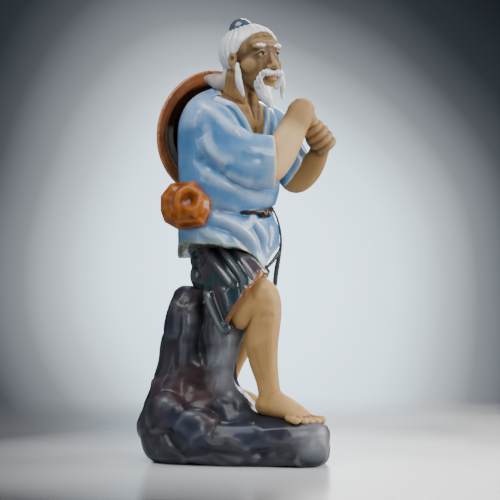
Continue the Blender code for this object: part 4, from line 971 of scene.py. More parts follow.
# Hair: a cap over the skull behind a slanting hairline, the nape, brows, moustache, beard and side locks.
HAIR_CAP = ((-2.2, 0, 3.4), (17.4, 14.9, 14.2))
HAIRLINE = ((1.8, 0, -1.0), (0.81, 0, -0.59))
NAPE = ((-9.6, 0, -7.5), (7.8, 11.2, 8.0))
BROW_HAIR = ((13.7, 5.0, 3.9), (1.4, 3.7, 1.3))
MOUSTACHE = ((15.4, 3.2, -10.4), (1.9, 4.2, 1.9))


# The lock that hangs free before each ear: (forward, right, up, half-thickness, half-width).
LOCK = [
    (3.6, 13.0, -4.6, 0.9, 0.9),
    (4.4, 14.0, -8.0, 1.4, 2.0),
    (5.2, 14.6, -12.6, 1.5, 2.5),
    (6.0, 14.2, -17.4, 1.3, 2.0),
    (6.6, 13.2, -21.4, 0.8, 0.9),
]
# The beard's whiskers beside the mouth, and the long beard down from the chin.
WHISKER = [(14.0, 5.6, -10.6, 1.5, 1.6), (12.6, 6.6, -13.4, 1.8, 2.0), (11.0, 5.6, -16.4, 2.0, 2.2)]
GOATEE = [
    (14.0, -16.0, 214.6, 3.0, 5.6),
    (14.9, -17.4, 210.5, 4.0, 6.4),
    (16.4, -18.9, 205.5, 3.9, 5.7),
    (18.1, -20.5, 201, 2.9, 3.9),
    (19.0, -21.3, 198.4, 1.6, 1.9),
]


def half_ball(bm, place, radii, point, way):
    """An ellipsoid on the head, cut off flat in front of a plane."""
    before = set(bm.verts)
    head_ball(bm, place, radii)
    new = [v for v in bm.verts if v not in before]
    faces = {f for v in new for f in v.link_faces}
    edges = {e for v in new for e in v.link_edges}
    normal = head_at(*way) - head_at(0, 0, 0)
    out = bmesh.ops.bisect_plane(bm, geom=[*new, *edges, *faces], plane_co=Vector(head_at(*point)) * GRID,
                                 plane_no=Vector(normal), clear_outer=True)
    rim = [g for g in out["geom_cut"] if isinstance(g, bmesh.types.BMEdge)]
    bmesh.ops.holes_fill(bm, edges=rim, sides=0)


def hair():
    bm = bmesh.new()
    half_ball(bm, *HAIR_CAP, *HAIRLINE)
    head_ball(bm, *NAPE)
    cap = press(bm, "hair cap", soften=4)
    bm = bmesh.new()
    for place, radii in (BROW_HAIR, MOUSTACHE):
        for spot in both_sides(place):
            head_ball(bm, spot, radii)
    for end in (1, -1):
        limb(bm, [(*head_at(a, b * end, c), t, w) for a, b, c, t, w in WHISKER], steps=3, count=12)
    limb(bm, GOATEE, side=heading(TORSO_TURN)[0], steps=4)
    beard = press(bm, "beard", soften=2)
    bm = bmesh.new()
    across = head_at(0, 1, 0) - HEAD
    for end in (1, -1):
        limb(bm, [(*head_at(a, b * end, c), t, w) for a, b, c, t, w in LOCK], side=across, steps=4, count=12)
    locks = press(bm, "side locks", voxel=THIN_VOXEL, soften=1)
    return [cap, beard, locks]


BUN = ((3.0, -6.5, 241.0), (6.9, 6.9, 6.9))
BUN_FOOT = [(3.8, -7, 236, 6.6, 6.6), (3.4, -6.8, 238.5, 6.2, 6.2)]


def bun():
    bm = bmesh.new()
    ball(bm, *BUN)
    limb(bm, BUN_FOOT, steps=2)
    return press(bm, "hair bun", soften=1)


# The hat hangs on the back with its hollow side towards the body.
HAT_MIDDLE = np.array((-11.6, 15.6, 184.0))
HAT_TIP = -0.10  # how far its hollow side looks down
HAT_PROFILE = [
    (1.00, 0.02), (0.99, 0.10), (0.93, 0.15), (0.85, 0.25), (0.76, 0.50), (0.62, 0.74), (0.42, 0.92),
    (0.22, 1.02), (0.06, 1.06),
]


def hat_way():
    a = math.radians(HAT_TURN)
    return unit((math.cos(a), -math.sin(a), HAT_TIP))


def hat_hang(profile, wall):
    """The hat as rings round its axis: on the outside from the middle to the brim, then back inside."""
    ahead = hat_way()
    across = unit(np.cross((0, 0, 1), ahead))
    up = np.cross(ahead, across)
    radius, depth = HAT_RADIUS / GRID, HAT_CROWN_DEPTH / GRID
    rings = []
    for share, back in reversed(profile):
        middle = HAT_MIDDLE - ahead * (back * depth + wall)
        rings.append(oval(middle, across, up, share * radius, share * radius, 48))
    for share, back in profile:
        inside = share * radius - (wall * 0.5 if share < 0.97 else 0.4)
        rings.append(oval(HAT_MIDDLE - ahead * back * depth, across, up, inside, inside, 48))
    return rings


def hat():
    bm = bmesh.new()
    loft(bm, hat_hang(HAT_PROFILE, HAT_WALL / GRID))
    return press(bm, "hat", soften=2)


# The pad that lies between the nape and the hat.
PAD = [
    (-15.8, 6.4, 214.8, 2.8, 2.4),
    (-13.0, 2.4, 214.0, 4.0, 3.6),
    (-9, -1.5, 212.8, 4.8, 5.0),
    (-4, -3, 211.5, 5.0, 6.0),
]


def pad():
    bm = bmesh.new()
    limb(bm, PAD)
    return press(bm, "hat pad", soften=2)


# The gourd at the hip: a short faceted drum, its end turned to the viewer. Its outline is in shares of the
# half-width, and its rings run from the back to the front as (share of the half-depth, share of the outline).
POUCH_MIDDLE = np.array((-27.2, -24.0, 144.4))
POUCH_WAY = (-0.12, -0.98, 0.05)
POUCH_OUTLINE = [
    (-0.36, 0.90), (0.62, 0.80), (1.02, 0.30), (1.02, -0.30), (0.86, -0.74), (0.30, -1.05), (-0.76, -0.91),
    (-1.0, -0.30), (-1.02, 0.12),
]
POUCH_RINGS = [
    (-1.0, 0.50), (-0.86, 0.78), (-0.5, 0.95), (0.1, 1.0), (0.42, 0.95), (0.78, 0.76), (0.98, 0.5),
    (1.06, 0.25),
]
# The raised hook on the gourd's end, as the viewer sees it.
POUCH_HOOK = [
    (-30.7, 138.3), (-31.8, 142.7), (-31.6, 147.5), (-29.4, 151), (-25.2, 152.6), (-21.3, 150.6),
    (-16.9, 149),
]
POUCH_STROKES = [
    ("ridge", 1.5, 1.5, POUCH_HOOK),
    ("groove", 1.6, 0.7, [(-26.5, 138), (-22, 136), (-18, 139)]),
]
POUCH_DIMPLE = ((-24.4, -37, 146.2), 6.0, 1.6)


def pouch():
    bm = bmesh.new()
    ahead = unit(POUCH_WAY)
    across = unit(np.cross((0, 0, 1), ahead))
    up = np.cross(ahead, across)
    half, reach = POUCH_WIDTH / 2 / GRID, POUCH_DEPTH / 2 / GRID
    corners = np.array(POUCH_OUTLINE)
    shares = np.arange(4)[:, None] / 4
    outline = np.vstack([p + shares * (q - p) for p, q in zip(corners, np.roll(corners, -1, axis=0))])
    rings = []
    for along, share in POUCH_RINGS:
        flat = outline * share * half
        middle = POUCH_MIDDLE + ahead * along * reach
        rings.append(middle + np.outer(flat[:, 0], -across) + np.outer(flat[:, 1], up))
    loft(bm, rings)
    obj = press(bm, "pouch", voxel=POUCH_VOXEL, soften=2)
    dent(obj, [POUCH_DIMPLE])
    carve(obj, POUCH_STROKES)
    return obj


CORD = [
    (-26, -12, 141), (-17, -19, 140.5), (-5, -21.5, 140), (5, -21.8, 139.6), (9, -20.8, 139.6),
    (14.6, -16.2, 140), (19.6, -7.5, 141.6), (20.8, 2, 142.8),
]
BACK_CORD = [
    (20.8, 2, 142.8), (20.0, 13.1, 142.6), (13.9, 21.6, 142.3), (4.4, 25.9, 142), (-6.2, 24.9, 142),
    (-15.5, 18.6, 142), (-21.5, 14.1, 142), (-27.5, 6.8, 142), (-30.2, -4.5, 141.6), (-28.6, -13.1, 141),
]
KNOTS = [((14.6, -15.6, 138.6), (2.6, 2.0, 2.2)), ((17.6, -12.8, 138.0), (2.2, 1.8, 1.6))]
# The ends of the sash: (x, y, z, width as a share of its thickness).
RIBBON = [
    (20.6, -4, 141.5, 0.7),
    (22.8, -1, 137, 0.7),
    (24.8, 2.5, 130, 0.7),
    (25.4, 5, 122, 0.8),
    (24.2, 6.6, 114, 1.3),
    (22.8, 8.4, 106, 1.5),
    (22.0, 10, 98, 1.4),
]
RIBBON_TAIL = [(24.8, 5.8, 118, 0.9), (21.2, 4.0, 112.5, 1.1), (17.0, 1.5, 108, 0.9)]


def cords():
    bm = bmesh.new()
    for path in (CORD, BACK_CORD):
        limb(bm, [(*p, 1.2, 1.2) for p in path], steps=4, count=10)
    for knot in KNOTS:
        ball(bm, *knot)
    belt = press(bm, "belt", voxel=THIN_VOXEL, soften=1)
    bm = bmesh.new()
    half = SASH_THICKNESS / 2 / GRID
    for path in (RIBBON, RIBBON_TAIL):
        limb(bm, [(x, y, z, half, half * share) for x, y, z, share in path], steps=5, count=10)
    return [belt, press(bm, "ribbon", voxel=THIN_VOXEL, soften=1)]


# The solid's lowest and highest corner on the modelling grid, in grid units: what stands it in the frame.
BODY_LOW = (-56.2381, -47.6439, -0.0152)
BODY_HIGH = (56.4863, 39.1909, 247.934)


def to_frame(co):
    """Points on the modelling grid, in metres, moved to where the solid stands."""
    low, high = np.array(BODY_LOW) * GRID, np.array(BODY_HIGH) * GRID
    middle = (low + high) / 2
    return (co - (middle[0], middle[1], low[2])) * (HEIGHT / (high[2] - low[2]))


def neighbours(mesh):
    pairs = np.empty(len(mesh.edges) * 2, dtype=np.int64)
    mesh.edges.foreach_get("vertices", pairs)
    return pairs.reshape(-1, 2)


def blurred(values, pairs, times):
    """Values at the vertices, averaged with their neighbours' a number of times."""
    n = len(values)
    count = np.maximum(np.bincount(pairs.ravel(), minlength=n), 1)
    out = values.astype(float)
    for _ in range(times):
        columns = out if out.ndim == 2 else out[:, None]
        total = np.column_stack([
            np.bincount(pairs[:, 0], c[pairs[:, 1]], n) + np.bincount(pairs[:, 1], c[pairs[:, 0]], n)
            for c in columns.T
        ])
        mean = total / count[:, None]
        out = 0.5 * columns + 0.5 * mean
        out = out if values.ndim == 2 else out[:, 0]
    return out


def bend(mesh, times, unit_length):
    """How far each vertex stands proud of its surroundings (negative in a crease), as shares of a length."""
    co = positions(mesh) / GRID
    pairs = neighbours(mesh)
    out = ((co - blurred(co, pairs, times)) * normals(mesh)).sum(1)
    return np.clip(blurred(out, pairs, 3) / unit_length, -1, 1)


def set_mask(mesh, name, values):
    mesh.attributes.new(name, "FLOAT", "POINT").data.foreach_set("value", np.asarray(values, np.float32))


def dress(obj, name, material, masks=(), fine=(10, 0.12), broad=(70, 0.7)):
    """Makes an area a piece of the dressed figurine: its masks, its glaze, and its place on the body."""
    mesh = obj.data
    set_mask(mesh, "fine", bend(mesh, *fine))
    set_mask(mesh, "broad", bend(mesh, *broad))
    for key, values in dict(masks).items():
        set_mask(mesh, key, values)
    mesh.polygons.foreach_set("use_smooth", [True] * len(mesh.polygons))
    move_to(mesh, to_frame(positions(mesh)))
    mesh.materials.clear()
    mesh.materials.append(material)
    obj.name = name
    mesh.name = name
    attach(obj, "root")
    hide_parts("figurine")
    return obj


class Finish:
    """A node material, built up from small steps."""

    def __init__(self, name, roughness, coat, ior=1.5):
        self.material = bpy.data.materials.new(name)
        self.material.use_nodes = True
        self.tree = self.material.node_tree
        self.shader = self.tree.nodes["Principled BSDF"]
        self.shader.inputs["Roughness"].default_value = roughness
        self.shader.inputs["Coat Weight"].default_value = coat
        self.shader.inputs["Coat Roughness"].default_value = 0.05
        self.shader.inputs["IOR"].default_value = ior
        self.place = self.tree.nodes.new("ShaderNodeTexCoord").outputs["Object"]

    def add(self, kind, inputs, **settings):
        node = self.tree.nodes.new(kind)
        for key, value in settings.items():
            setattr(node, key, value)
        for key, value in inputs.items():
            if isinstance(value, bpy.types.NodeSocket):
                self.tree.links.new(value, node.inputs[key])
            else:
                node.inputs[key].default_value = value
        return node

    def noise(self, scale, detail=3.0, distortion=0.0, stretch=(1, 1, 1), shift=(0, 0, 0)):
        place = self.add("ShaderNodeMapping", {"Vector": self.place, "Scale": stretch, "Location": shift})
        inputs = {"Vector": place.outputs[0], "Scale": scale, "Detail": detail, "Distortion": distortion}
        return self.add("ShaderNodeTexNoise", inputs).outputs["Fac"]

    def mask(self, name):
        return self.add("ShaderNodeAttribute", {}, attribute_name=name).outputs["Fac"]

    def relief(self, broad, fine, most=1.0):
        """Where the form stands proud or hollow, by its broad swell and up to a share by its fine one."""
        return self.sum(self.span(self.mask("broad"), *broad), self.span(self.mask("fine"), *fine, 0, most))

    def span(self, value, low, high, to_low=0.0, to_high=1.0):
        """A value brought from one range to another, and held within it."""
        inputs = {"Value": value, "From Min": low, "From Max": high, "To Min": to_low, "To Max": to_high}
        return self.add("ShaderNodeMapRange", inputs).outputs[0]

    def sum(self, a, b, kind="ADD"):
        node = self.add("ShaderNodeMath", {}, operation=kind)
        for socket, value in zip(node.inputs, (a, b)):
            if isinstance(value, bpy.types.NodeSocket):
                self.tree.links.new(value, socket)
            else:
                socket.default_value = value
        return node.outputs[0]

    def mix(self, share, a, b, blend="MIX"):
        """Two colours mixed by a share."""
        node = self.tree.nodes.new("ShaderNodeMix")
        node.data_type = "RGBA"
        node.blend_type = blend
        for socket, value in ((node.inputs[0], share), (node.inputs[6], a), (node.inputs[7], b)):
            if isinstance(value, bpy.types.NodeSocket):
                self.tree.links.new(value, socket)
            elif socket is node.inputs[0]:
                socket.default_value = value
            else:
                socket.default_value = (*value, 1.0)
        return node.outputs[2]

    def colour(self, socket):
        self.tree.links.new(socket, self.shader.inputs["Base Color"])

    def rough(self, socket):
        self.tree.links.new(socket, self.shader.inputs["Roughness"])

    def bump(self, *layers):
        """Relief too fine for the mesh: (height, distance in metres, strength) layers."""
        normal = None
        for height, distance, strength in layers:
            inputs = {"Height": height, "Distance": distance, "Strength": strength}
            if normal is not None:
                inputs["Normal"] = normal
            normal = self.add("ShaderNodeBump", inputs).outputs[0]
        self.tree.links.new(normal, self.shader.inputs["Normal"])
        self.tree.links.new(normal, self.shader.inputs["Coat Normal"])


def glaze_surface(finish, wave=0.3):
    """The soft waves and the fine orange peel of a fired glaze."""
    finish.bump((finish.noise(60, 1.0), 0.0006, wave), (finish.noise(900, 2.0), 0.00005, 0.3))


def blue_glaze():
    f = Finish("blue_glaze", 0.2, 0.35)
    tone = f.noise(45, 3.0, 0.6)
    base = f.mix(f.span(tone, 0.35, 0.65), (0.060, 0.205, 0.46), (0.125, 0.32, 0.60))
    runs = f.noise(60, 3.0, 0.4, stretch=(1, 1, 0.3))
    base = f.mix(f.span(runs, 0.5, 0.75, 0, 0.4), base, (0.06, 0.18, 0.39))
    thin = f.relief((0.05, 1.0), (0.2, 1.0), 0.25)
    thin = f.span(f.sum(thin, f.noise(90, 3.0), "MULTIPLY"), 0.05, 0.5, 0, 0.8)
    base = f.mix(thin, base, (0.48, 0.65, 0.80))
    milk = f.noise(32, 2.0, 0.5, shift=(2, 0, 4))
    base = f.mix(f.span(milk, 0.56, 0.70, 0, 0.35), base, (0.50, 0.60, 0.74))
    pool = f.relief((-0.05, -0.8), (-0.1, -0.8), 0.6)
    base = f.mix(f.span(pool, 0, 1.2, 0, 0.75), base, (0.05, 0.13, 0.23))
    # Painted highlights: pale strokes where light falls on the robe and sleeves.
    highlight_strokes = f.sum(f.mask("brush"), f.span(f.noise(75, 4.0, 0.8), 0.3, 0.7, 0.4, 1.1), "MULTIPLY")
    base = f.mix(f.span(highlight_strokes, 0.0, 1.0, 0, 0.85), base, (0.46, 0.61, 0.82))
    edge = f.sum(f.mask("edge"), f.span(f.noise(160, 3.0), 0.3, 0.7, 0.5, 1.0), "MULTIPLY")
    base = f.mix(f.span(edge, 0.1, 0.7), base, (0.26, 0.33, 0.25))
    base = f.mix(f.span(edge, 0.6, 0.95), base, (0.12, 0.075, 0.035))
    base = f.mix(f.mask("trim"), base, (0.60, 0.56, 0.46))
    f.colour(base)
    f.rough(f.span(f.noise(200, 2.0), 0.3, 0.7, 0.15, 0.26))
    glaze_surface(f)
    return f.material


def rock_glaze():
    f = Finish("rock_glaze", 0.3, 0.10)
    tone = f.noise(30, 4.0, 1.0)
    base = f.mix(f.span(tone, 0.38, 0.62), (0.007, 0.007, 0.011), (0.026, 0.026, 0.036))
    plum = f.noise(28, 3.0, 1.4, shift=(3, 1, 0))
    base = f.mix(f.span(plum, 0.5, 0.66, 0, 0.8), base, (0.050, 0.024, 0.034))
    navy = f.noise(30, 3.0, 1.2, shift=(0, 5, 2))
    base = f.mix(f.span(navy, 0.52, 0.66, 0, 0.85), base, (0.014, 0.020, 0.048))
    base = f.mix(f.mask("patch"), base, (0.085, 0.024, 0.018))
    thin = f.relief((0.15, 0.9), (0.2, 0.9))
    base = f.mix(f.span(thin, 0, 1.3, 0, 0.55), base, (0.10, 0.105, 0.125))
    pool = f.relief((-0.1, -0.9), (-0.2, -0.9), 0.6)
    base = f.mix(f.span(pool, 0, 1.2, 0, 0.85), base, (0.006, 0.006, 0.009))
    # Painted highlights: pale patches where light falls on the rock.
    pale = f.sum(f.mask("painted_light_and_shade"), f.span(f.noise(120, 4.0, 0.6), 0.3, 0.7, 0.5, 1.0), "MULTIPLY")
    base = f.mix(pale, base, (0.27, 0.275, 0.30))
    f.colour(base)
    f.rough(f.span(f.noise(90, 3.0), 0.3, 0.7, 0.30, 0.46))
    f.shader.inputs["Specular IOR Level"].default_value = 0.36
    glaze_surface(f, 0.5)
    return f.material


def teal_glaze():
    f = Finish("teal_glaze", 0.18, 0.38)
    tone = f.noise(50, 3.0, 1.2, stretch=(1, 1, 0.5))
    base = f.mix(f.span(tone, 0.4, 0.62), (0.008, 0.036, 0.042), (0.052, 0.028, 0.036))
    streaks = f.noise(90, 3.0, 0.8, stretch=(1, 1, 0.3))
    base = f.mix(f.span(streaks, 0.55, 0.7, 0, 0.7), base, (0.022, 0.085, 0.09))
    thin = f.relief((0.2, 0.9), (0.15, 0.9), 0.7)
    base = f.mix(f.span(thin, 0, 1.2, 0, 0.5), base, (0.10, 0.085, 0.10))
    pool = f.relief((-0.1, -0.9), (-0.2, -0.9), 0.6)
    base = f.mix(f.span(pool, 0, 1.2, 0, 0.8), base, (0.004, 0.013, 0.016))
    base = f.mix(f.mask("trim"), base, (0.20, 0.24, 0.235))
    edge = f.sum(f.mask("edge"), f.span(f.noise(200, 3.0), 0.3, 0.7, 0.6, 1.0), "MULTIPLY")
    base = f.mix(f.span(edge, 0.2, 0.8), base, (0.26, 0.10, 0.04))
    f.colour(base)
    glaze_surface(f)
    return f.material


def bare_clay():
    f = Finish("clay", 0.55, 0.0)
    tone = f.noise(60, 4.0, 0.5)
    base = f.mix(f.span(tone, 0.35, 0.65), (0.44, 0.238, 0.080), (0.54, 0.312, 0.118))
    # Painted shade, in part a darker wash, on the face and towards the hands.
    base = f.mix(f.mask("painted_light_and_shade"), base, (0.105, 0.060, 0.026))
    # A highlight painted over the near elbow and forearm.
    base = f.mix(f.mask("brush"), base, (0.82, 0.55, 0.27))
    # Paler on the proud parts of the clay.
    paler_on_ridges = f.relief((0.1, 1.0), (0.1, 1.0), 0.6)
    base = f.mix(f.span(paler_on_ridges, 0, 1.2, 0, 0.35), base, (0.68, 0.44, 0.20))
    # Darker in the creases of the clay.
    darker_in_creases = f.relief((-0.1, -1.0), (-0.08, -0.8), 0.8)
    base = f.mix(f.span(darker_in_creases, 0, 1.2, 0, 0.85), base, (0.13, 0.062, 0.026))
    specks = f.noise(1600, 2.0)
    base = f.mix(f.span(specks, 0.68, 0.74, 0, 0.35), base, (0.18, 0.09, 0.04))
    base = f.mix(f.mask("lips"), base, (0.30, 0.10, 0.06))
    base = f.mix(f.mask("white"), base, (0.50, 0.46, 0.40))
    base = f.mix(f.mask("paint"), base, (0.012, 0.008, 0.007))
    f.colour(base)
    f.rough(f.span(f.noise(300, 3.0), 0.3, 0.7, 0.46, 0.60))
    f.shader.inputs["Specular IOR Level"].default_value = 0.24
    f.bump((f.noise(140, 3.0), 0.0005, 0.4), (f.noise(2200, 3.0), 0.00006, 0.5))
    return f.material


def pale_cloth():
    f = Finish("pale_cloth", 0.42, 0.15)
    tone = f.noise(110, 4.0, 0.8)
    base = f.mix(f.span(tone, 0.35, 0.65), (0.34, 0.27, 0.235), (0.50, 0.43, 0.39))
    stain = f.noise(70, 3.0, 1.0, shift=(1, 4, 0))
    base = f.mix(f.span(stain, 0.5, 0.68, 0, 0.6), base, (0.17, 0.085, 0.05))
    f.colour(base)
    glaze_surface(f, 0.3)
    return f.material


def white_glaze():
    f = Finish("white_glaze", 0.16, 0.5)
    tone = f.noise(90, 3.0, 0.4)
    base = f.mix(f.span(tone, 0.35, 0.65), (0.72, 0.72, 0.74), (0.82, 0.82, 0.82))
    pool = f.relief((-0.1, -0.9), (-0.08, -0.8))
    base = f.mix(f.span(pool, 0, 1.2, 0, 0.7), base, (0.40, 0.42, 0.47))
    base = f.mix(f.mask("paint"), base, (0.008, 0.006, 0.008))
    f.colour(base)
    glaze_surface(f, 0.2)
    return f.material


def navy_glaze():
    f = Finish("navy_glaze", 0.16, 0.5)
    tone = f.noise(160, 3.0, 0.6)
    base = f.mix(f.span(tone, 0.35, 0.65), (0.006, 0.011, 0.024), (0.022, 0.040, 0.068))
    base = f.mix(f.span(f.mask("fine"), 0.1, 0.9, 0, 0.5), base, (0.09, 0.13, 0.17))
    f.colour(base)
    glaze_surface(f, 0.2)
    return f.material


def brown_glaze():
    f = Finish("brown_glaze", 0.22, 0.4)
    tone = f.noise(60, 4.0, 0.8)
    base = f.mix(f.span(tone, 0.35, 0.65), (0.19, 0.046, 0.013), (0.42, 0.125, 0.034))
    thin = f.relief((0.05, 0.7), (0.1, 0.9), 0.6)
    base = f.mix(f.span(thin, 0, 1.2, 0, 0.8), base, (0.55, 0.21, 0.07))
    # Darker where the glaze pools, and the shadow in the hat's hollow painted in; on the belt the same mask
    # gives its own dark brown.
    pool = f.sum(f.span(f.mask("broad"), -0.05, -0.8), f.mask("inside"))
    base = f.mix(f.span(pool, 0, 1.0, 0, 0.94), base, (0.010, 0.0035, 0.002))
    f.colour(base)
    f.tree.links.new(f.span(f.mask("inside"), 0, 1, 0.4, 0.0), f.shader.inputs["Coat Weight"])
    f.shader.inputs["Specular IOR Level"].default_value = 0.36
    glaze_surface(f)
    return f.material


def amber_glaze():
    f = Finish("amber_glaze", 0.26, 0.06)
    tone = f.noise(50, 4.0, 1.0)
    base = f.mix(f.span(tone, 0.35, 0.65), (0.11, 0.015, 0.0004), (0.34, 0.072, 0.0035))
    thin = f.relief((0.15, 0.9), (0.15, 0.9), 0.7)
    base = f.mix(f.span(thin, 0, 1.2, 0, 0.6), base, (0.50, 0.17, 0.025))
    pool = f.relief((-0.1, -0.9), (-0.1, -0.8), 0.7)
    base = f.mix(f.span(pool, 0, 1.2, 0, 0.7), base, (0.06, 0.013, 0.002))
    f.colour(base)
    f.shader.inputs["Specular IOR Level"].default_value = 0.3
    glaze_surface(f, 0.4)
    return f.material


def near_to(mesh, centre, radius):
    """A soft round mask about a place on the grid."""
    gap = np.linalg.norm(positions(mesh) / GRID - np.asarray(centre, float), axis=1)
    return np.clip(1.3 - gap / radius, 0, 1)


def highlight_strokes(mesh, strokes):
    """Where highlights are painted in: (width, strength, points across and up as the viewer sees them)
    strokes.
    """
    flat = positions(mesh)[:, ::2] / GRID
    facing = np.clip(-normals(mesh)[:, 1] * 3 + 0.5, 0, 1)
    out = np.zeros(len(flat))
    for width, strength, points in strokes:
        line = through(points, 12)
        gap = np.full(len(flat), 1e9)
        for p in line:
            gap = np.minimum(gap, np.linalg.norm(flat - p, axis=1))
        out = np.maximum(out, strength * np.clip(1.5 - gap / width, 0, 1) * facing)
    return out


def comb(mesh, centre, axis, strands, depth):
    """Strands that run down all round an axis, as grooves in the surface."""
    co = positions(mesh) / GRID
    axis = unit(axis)
    side = unit(np.cross(axis, (0.3, 1, 0.2)))
    gap = co - centre
    turn = np.arctan2(gap @ np.cross(axis, side), gap @ side)
    wave = np.sin(turn * strands + 1.5 * np.sin(gap @ axis * 0.35))
    radius = np.linalg.norm(gap - np.outer(gap @ axis, axis), axis=1)
    fade = np.clip(radius / 3.0 - 0.6, 0, 1)
    move_to(mesh, (co + normals(mesh) * (wave * fade * depth)[:, None]) * GRID)


def furrow(mesh, lines, depth):
    """Shallow lines across the forehead: (height above the middle of the head, half its length)."""
    co = positions(mesh) / GRID
    ahead, across, above = (head_at(*way) - HEAD for way in ((1, 0, 0), (0, 1, 0), (0, 0, 1)))
    gap = co - HEAD
    out = np.zeros(len(co))
    for height, half in lines:
        sag = 0.04 * (gap @ across) ** 2
        shape = np.clip(1 - np.abs(gap @ above - height + sag) / 0.8, 0, 1)
        out = np.maximum(out, shape * np.clip(1.4 - np.abs(gap @ across) / half, 0, 1))
    out *= np.clip(gap @ ahead - 6, 0, 1) * depth
    move_to(mesh, (co - normals(mesh) * out[:, None]) * GRID)


def beyond(mesh, point, way, soft):
    """A mask that rises to 1 past a plane."""
    out = (positions(mesh) / GRID - np.asarray(point, float)) @ unit(way)
    return np.clip(out / soft + 0.5, 0, 1)


HEM_BAND = 5.0  # how far the bare edge of the glaze reaches up from the hem


def hem_mask(mesh):
    """1 at the robe's hem, fading out over the lowest few units of the cloth."""
    co = positions(mesh) / GRID
    x, y, z = ROBE[-1][:3]
    level = HEM_HEIGHT - drop_at(co, np.array((x, y, z)))
    return np.clip(1 - (co[:, 2] - level) / HEM_BAND, 0, 1)


# The painted parts of the face: (place as forward, right, up on the head; half-width, half-height).
PAINTED = {
    "white": ((14.4, 5.0, -0.6), 2.0, 0.7),
    "paint": ((14.6, 4.8, -0.5), 1.1, 1.0),
    "lips": ((16.6, 0, -12.6), 3.0, 0.9),
}
PAINT_DEPTH = 3.5  # how far before or behind its place a painted part still reaches
# The skin darkens from the chest up to the face, as painted shade and in part a darker wash: (share below,
# share added, the height it starts at, and over how far).
SKIN_SHADE = (0.48, 0.46, 208, 16)


def face_masks(mesh):
    """Where the skin is darker, as painted shade and in part a darker wash, and the painted eyes and lips."""
    co = positions(mesh) / GRID
    ahead, across, above = (head_at(*way) - HEAD for way in ((1, 0, 0), (0, 1, 0), (0, 0, 1)))
    spots = {key: np.zeros(len(co)) for key in PAINTED}
    for key, (place, wide, high) in PAINTED.items():
        for spot in both_sides(place):
            gap = co - head_at(*spot)
            flat = ((gap @ across) / wide) ** 2 + ((gap @ above) / high) ** 2
            front = np.abs(gap @ ahead) < PAINT_DEPTH
            spots[key] = np.maximum(spots[key], np.clip((1.25 - np.sqrt(flat)) / 0.35, 0, 1) * front)
    for side in (1, -1):
        for forward, right, up in through([lid[:3] for lid in UPPER_LID], 12):
            gap = np.linalg.norm(co - head_at(forward + 0.4, right * side, up - 0.5), axis=1)
            spots["paint"] = np.maximum(spots["paint"], np.clip(1.6 - gap / 0.5, 0, 1) * 0.9)
    least, more, start, rise = SKIN_SHADE
    spots["painted_light_and_shade"] = least + more * np.clip((co[:, 2] - start) / rise, 0, 1)
    return spots


# Highlights painted pale on the blue glaze: (width, strength, points across and up).
ROBE_HIGHLIGHTS = [
    (4.5, 0.85, [(-24, 200), (-20, 201), (-14, 199)]),
    (2.4, 0.7, [(-14, 197), (-7, 190), (-2, 184.5), (7, 182)]),
    (2.2, 0.7, [(-16, 186), (-14, 177), (-9, 171), (-3, 168.5)]),
    (2.0, 0.6, [(-12, 170), (-10, 167), (-8, 164)]),
    (2.6, 0.6, [(-13, 157), (0, 155), (10, 154), (19, 156)]),
    (3.2, 0.75, [(5, 150), (11, 148), (17, 147)]),
    (3.6, 0.65, [(-12, 138), (-4, 134), (4, 128), (9, 121)]),
    (3.0, 0.6, [(14, 132), (17, 124), (16, 115)]),
    (3.4, 0.55, [(-26, 130), (-18, 124), (-8, 119), (4, 115)]),
    (2.4, 0.5, [(-20, 146), (-10, 142), (0, 141)]),
]


# Soft round patches on the rock: red ones, and pale ones that are painted highlights: (middle, radius,
# strength).
ROCK_RED = [((-24, -30, 45), 13, 0.7)]
ROCK_HIGHLIGHTS = [((44, -44, 16), 11, 0.9), *(((-3, -24, height), 11, 0.95) for height in (84, 72, 60, 48))]
# The arms grow darker from one height up to another, to a share: painted shade, in part a darker wash.
NEAR_ARM_SHADE = (176, 196, 0.42)
FAR_ARM_SHADE = (150, 172, 0.62)
# A highlight painted over the near elbow: (width, strength, points across and up).
ELBOW_HIGHLIGHT = (8, 0.95, [(21, 166), (28, 181)])
# The pale band down the flap of the trousers: where it starts, and the way square to it, across and up.
BAND_START = (-17.6, 92)
BAND_SQUARE = (0.90, 0.435)
BAND_STRENGTH = 0.5
# The lines on the forehead: (height above the middle of the head, half its length).
FURROWS = [(6.4, 5.0), (8.6, 4.4), (10.6, 3.4)]
FURROW_DEPTH = 0.35
# The strands run down all round a place on the head, one for the cap and one for beard and locks.
CAP_COMB = (-6, 0, 0)
BEARD_COMB = (10, 0, -14)
STRANDS = 26
STRAND_DEPTH = 0.22
# Inside the brim, the hollow of the hat is painted dark as its shadow.
BRIM_WIDTH = 5.4  # the part of the hat's inside that keeps its brown
BRIM_FADE = 4.5


def patches(mesh, spots):
    return np.max([near_to(mesh, middle, radius) * most for middle, radius, most in spots], axis=0)


def cuff_mask(mesh, stations, way):
    """1 on the pale rim of a sleeve's opening."""
    x, y, z, _, _, lean = stations[-1]
    t = math.radians(lean)
    ahead = (math.cos(t) * way[0], math.cos(t) * way[1], -math.sin(t))
    return beyond(mesh, np.array((x, y, z)) - unit(ahead) * 0.6, ahead, 0.5)


def arm_masks(mesh, near):
    """Where an arm grows darker as painted shade, in part a wash, and the highlight painted on the near
    elbow.
    """
    low, high, most = NEAR_ARM_SHADE if near else FAR_ARM_SHADE
    rise = np.clip((positions(mesh)[:, 2] / GRID - low) / (high - low), 0, 1)
    return {"painted_light_and_shade": rise * most, "brush": highlight_strokes(mesh, [ELBOW_HIGHLIGHT] if near else [])}


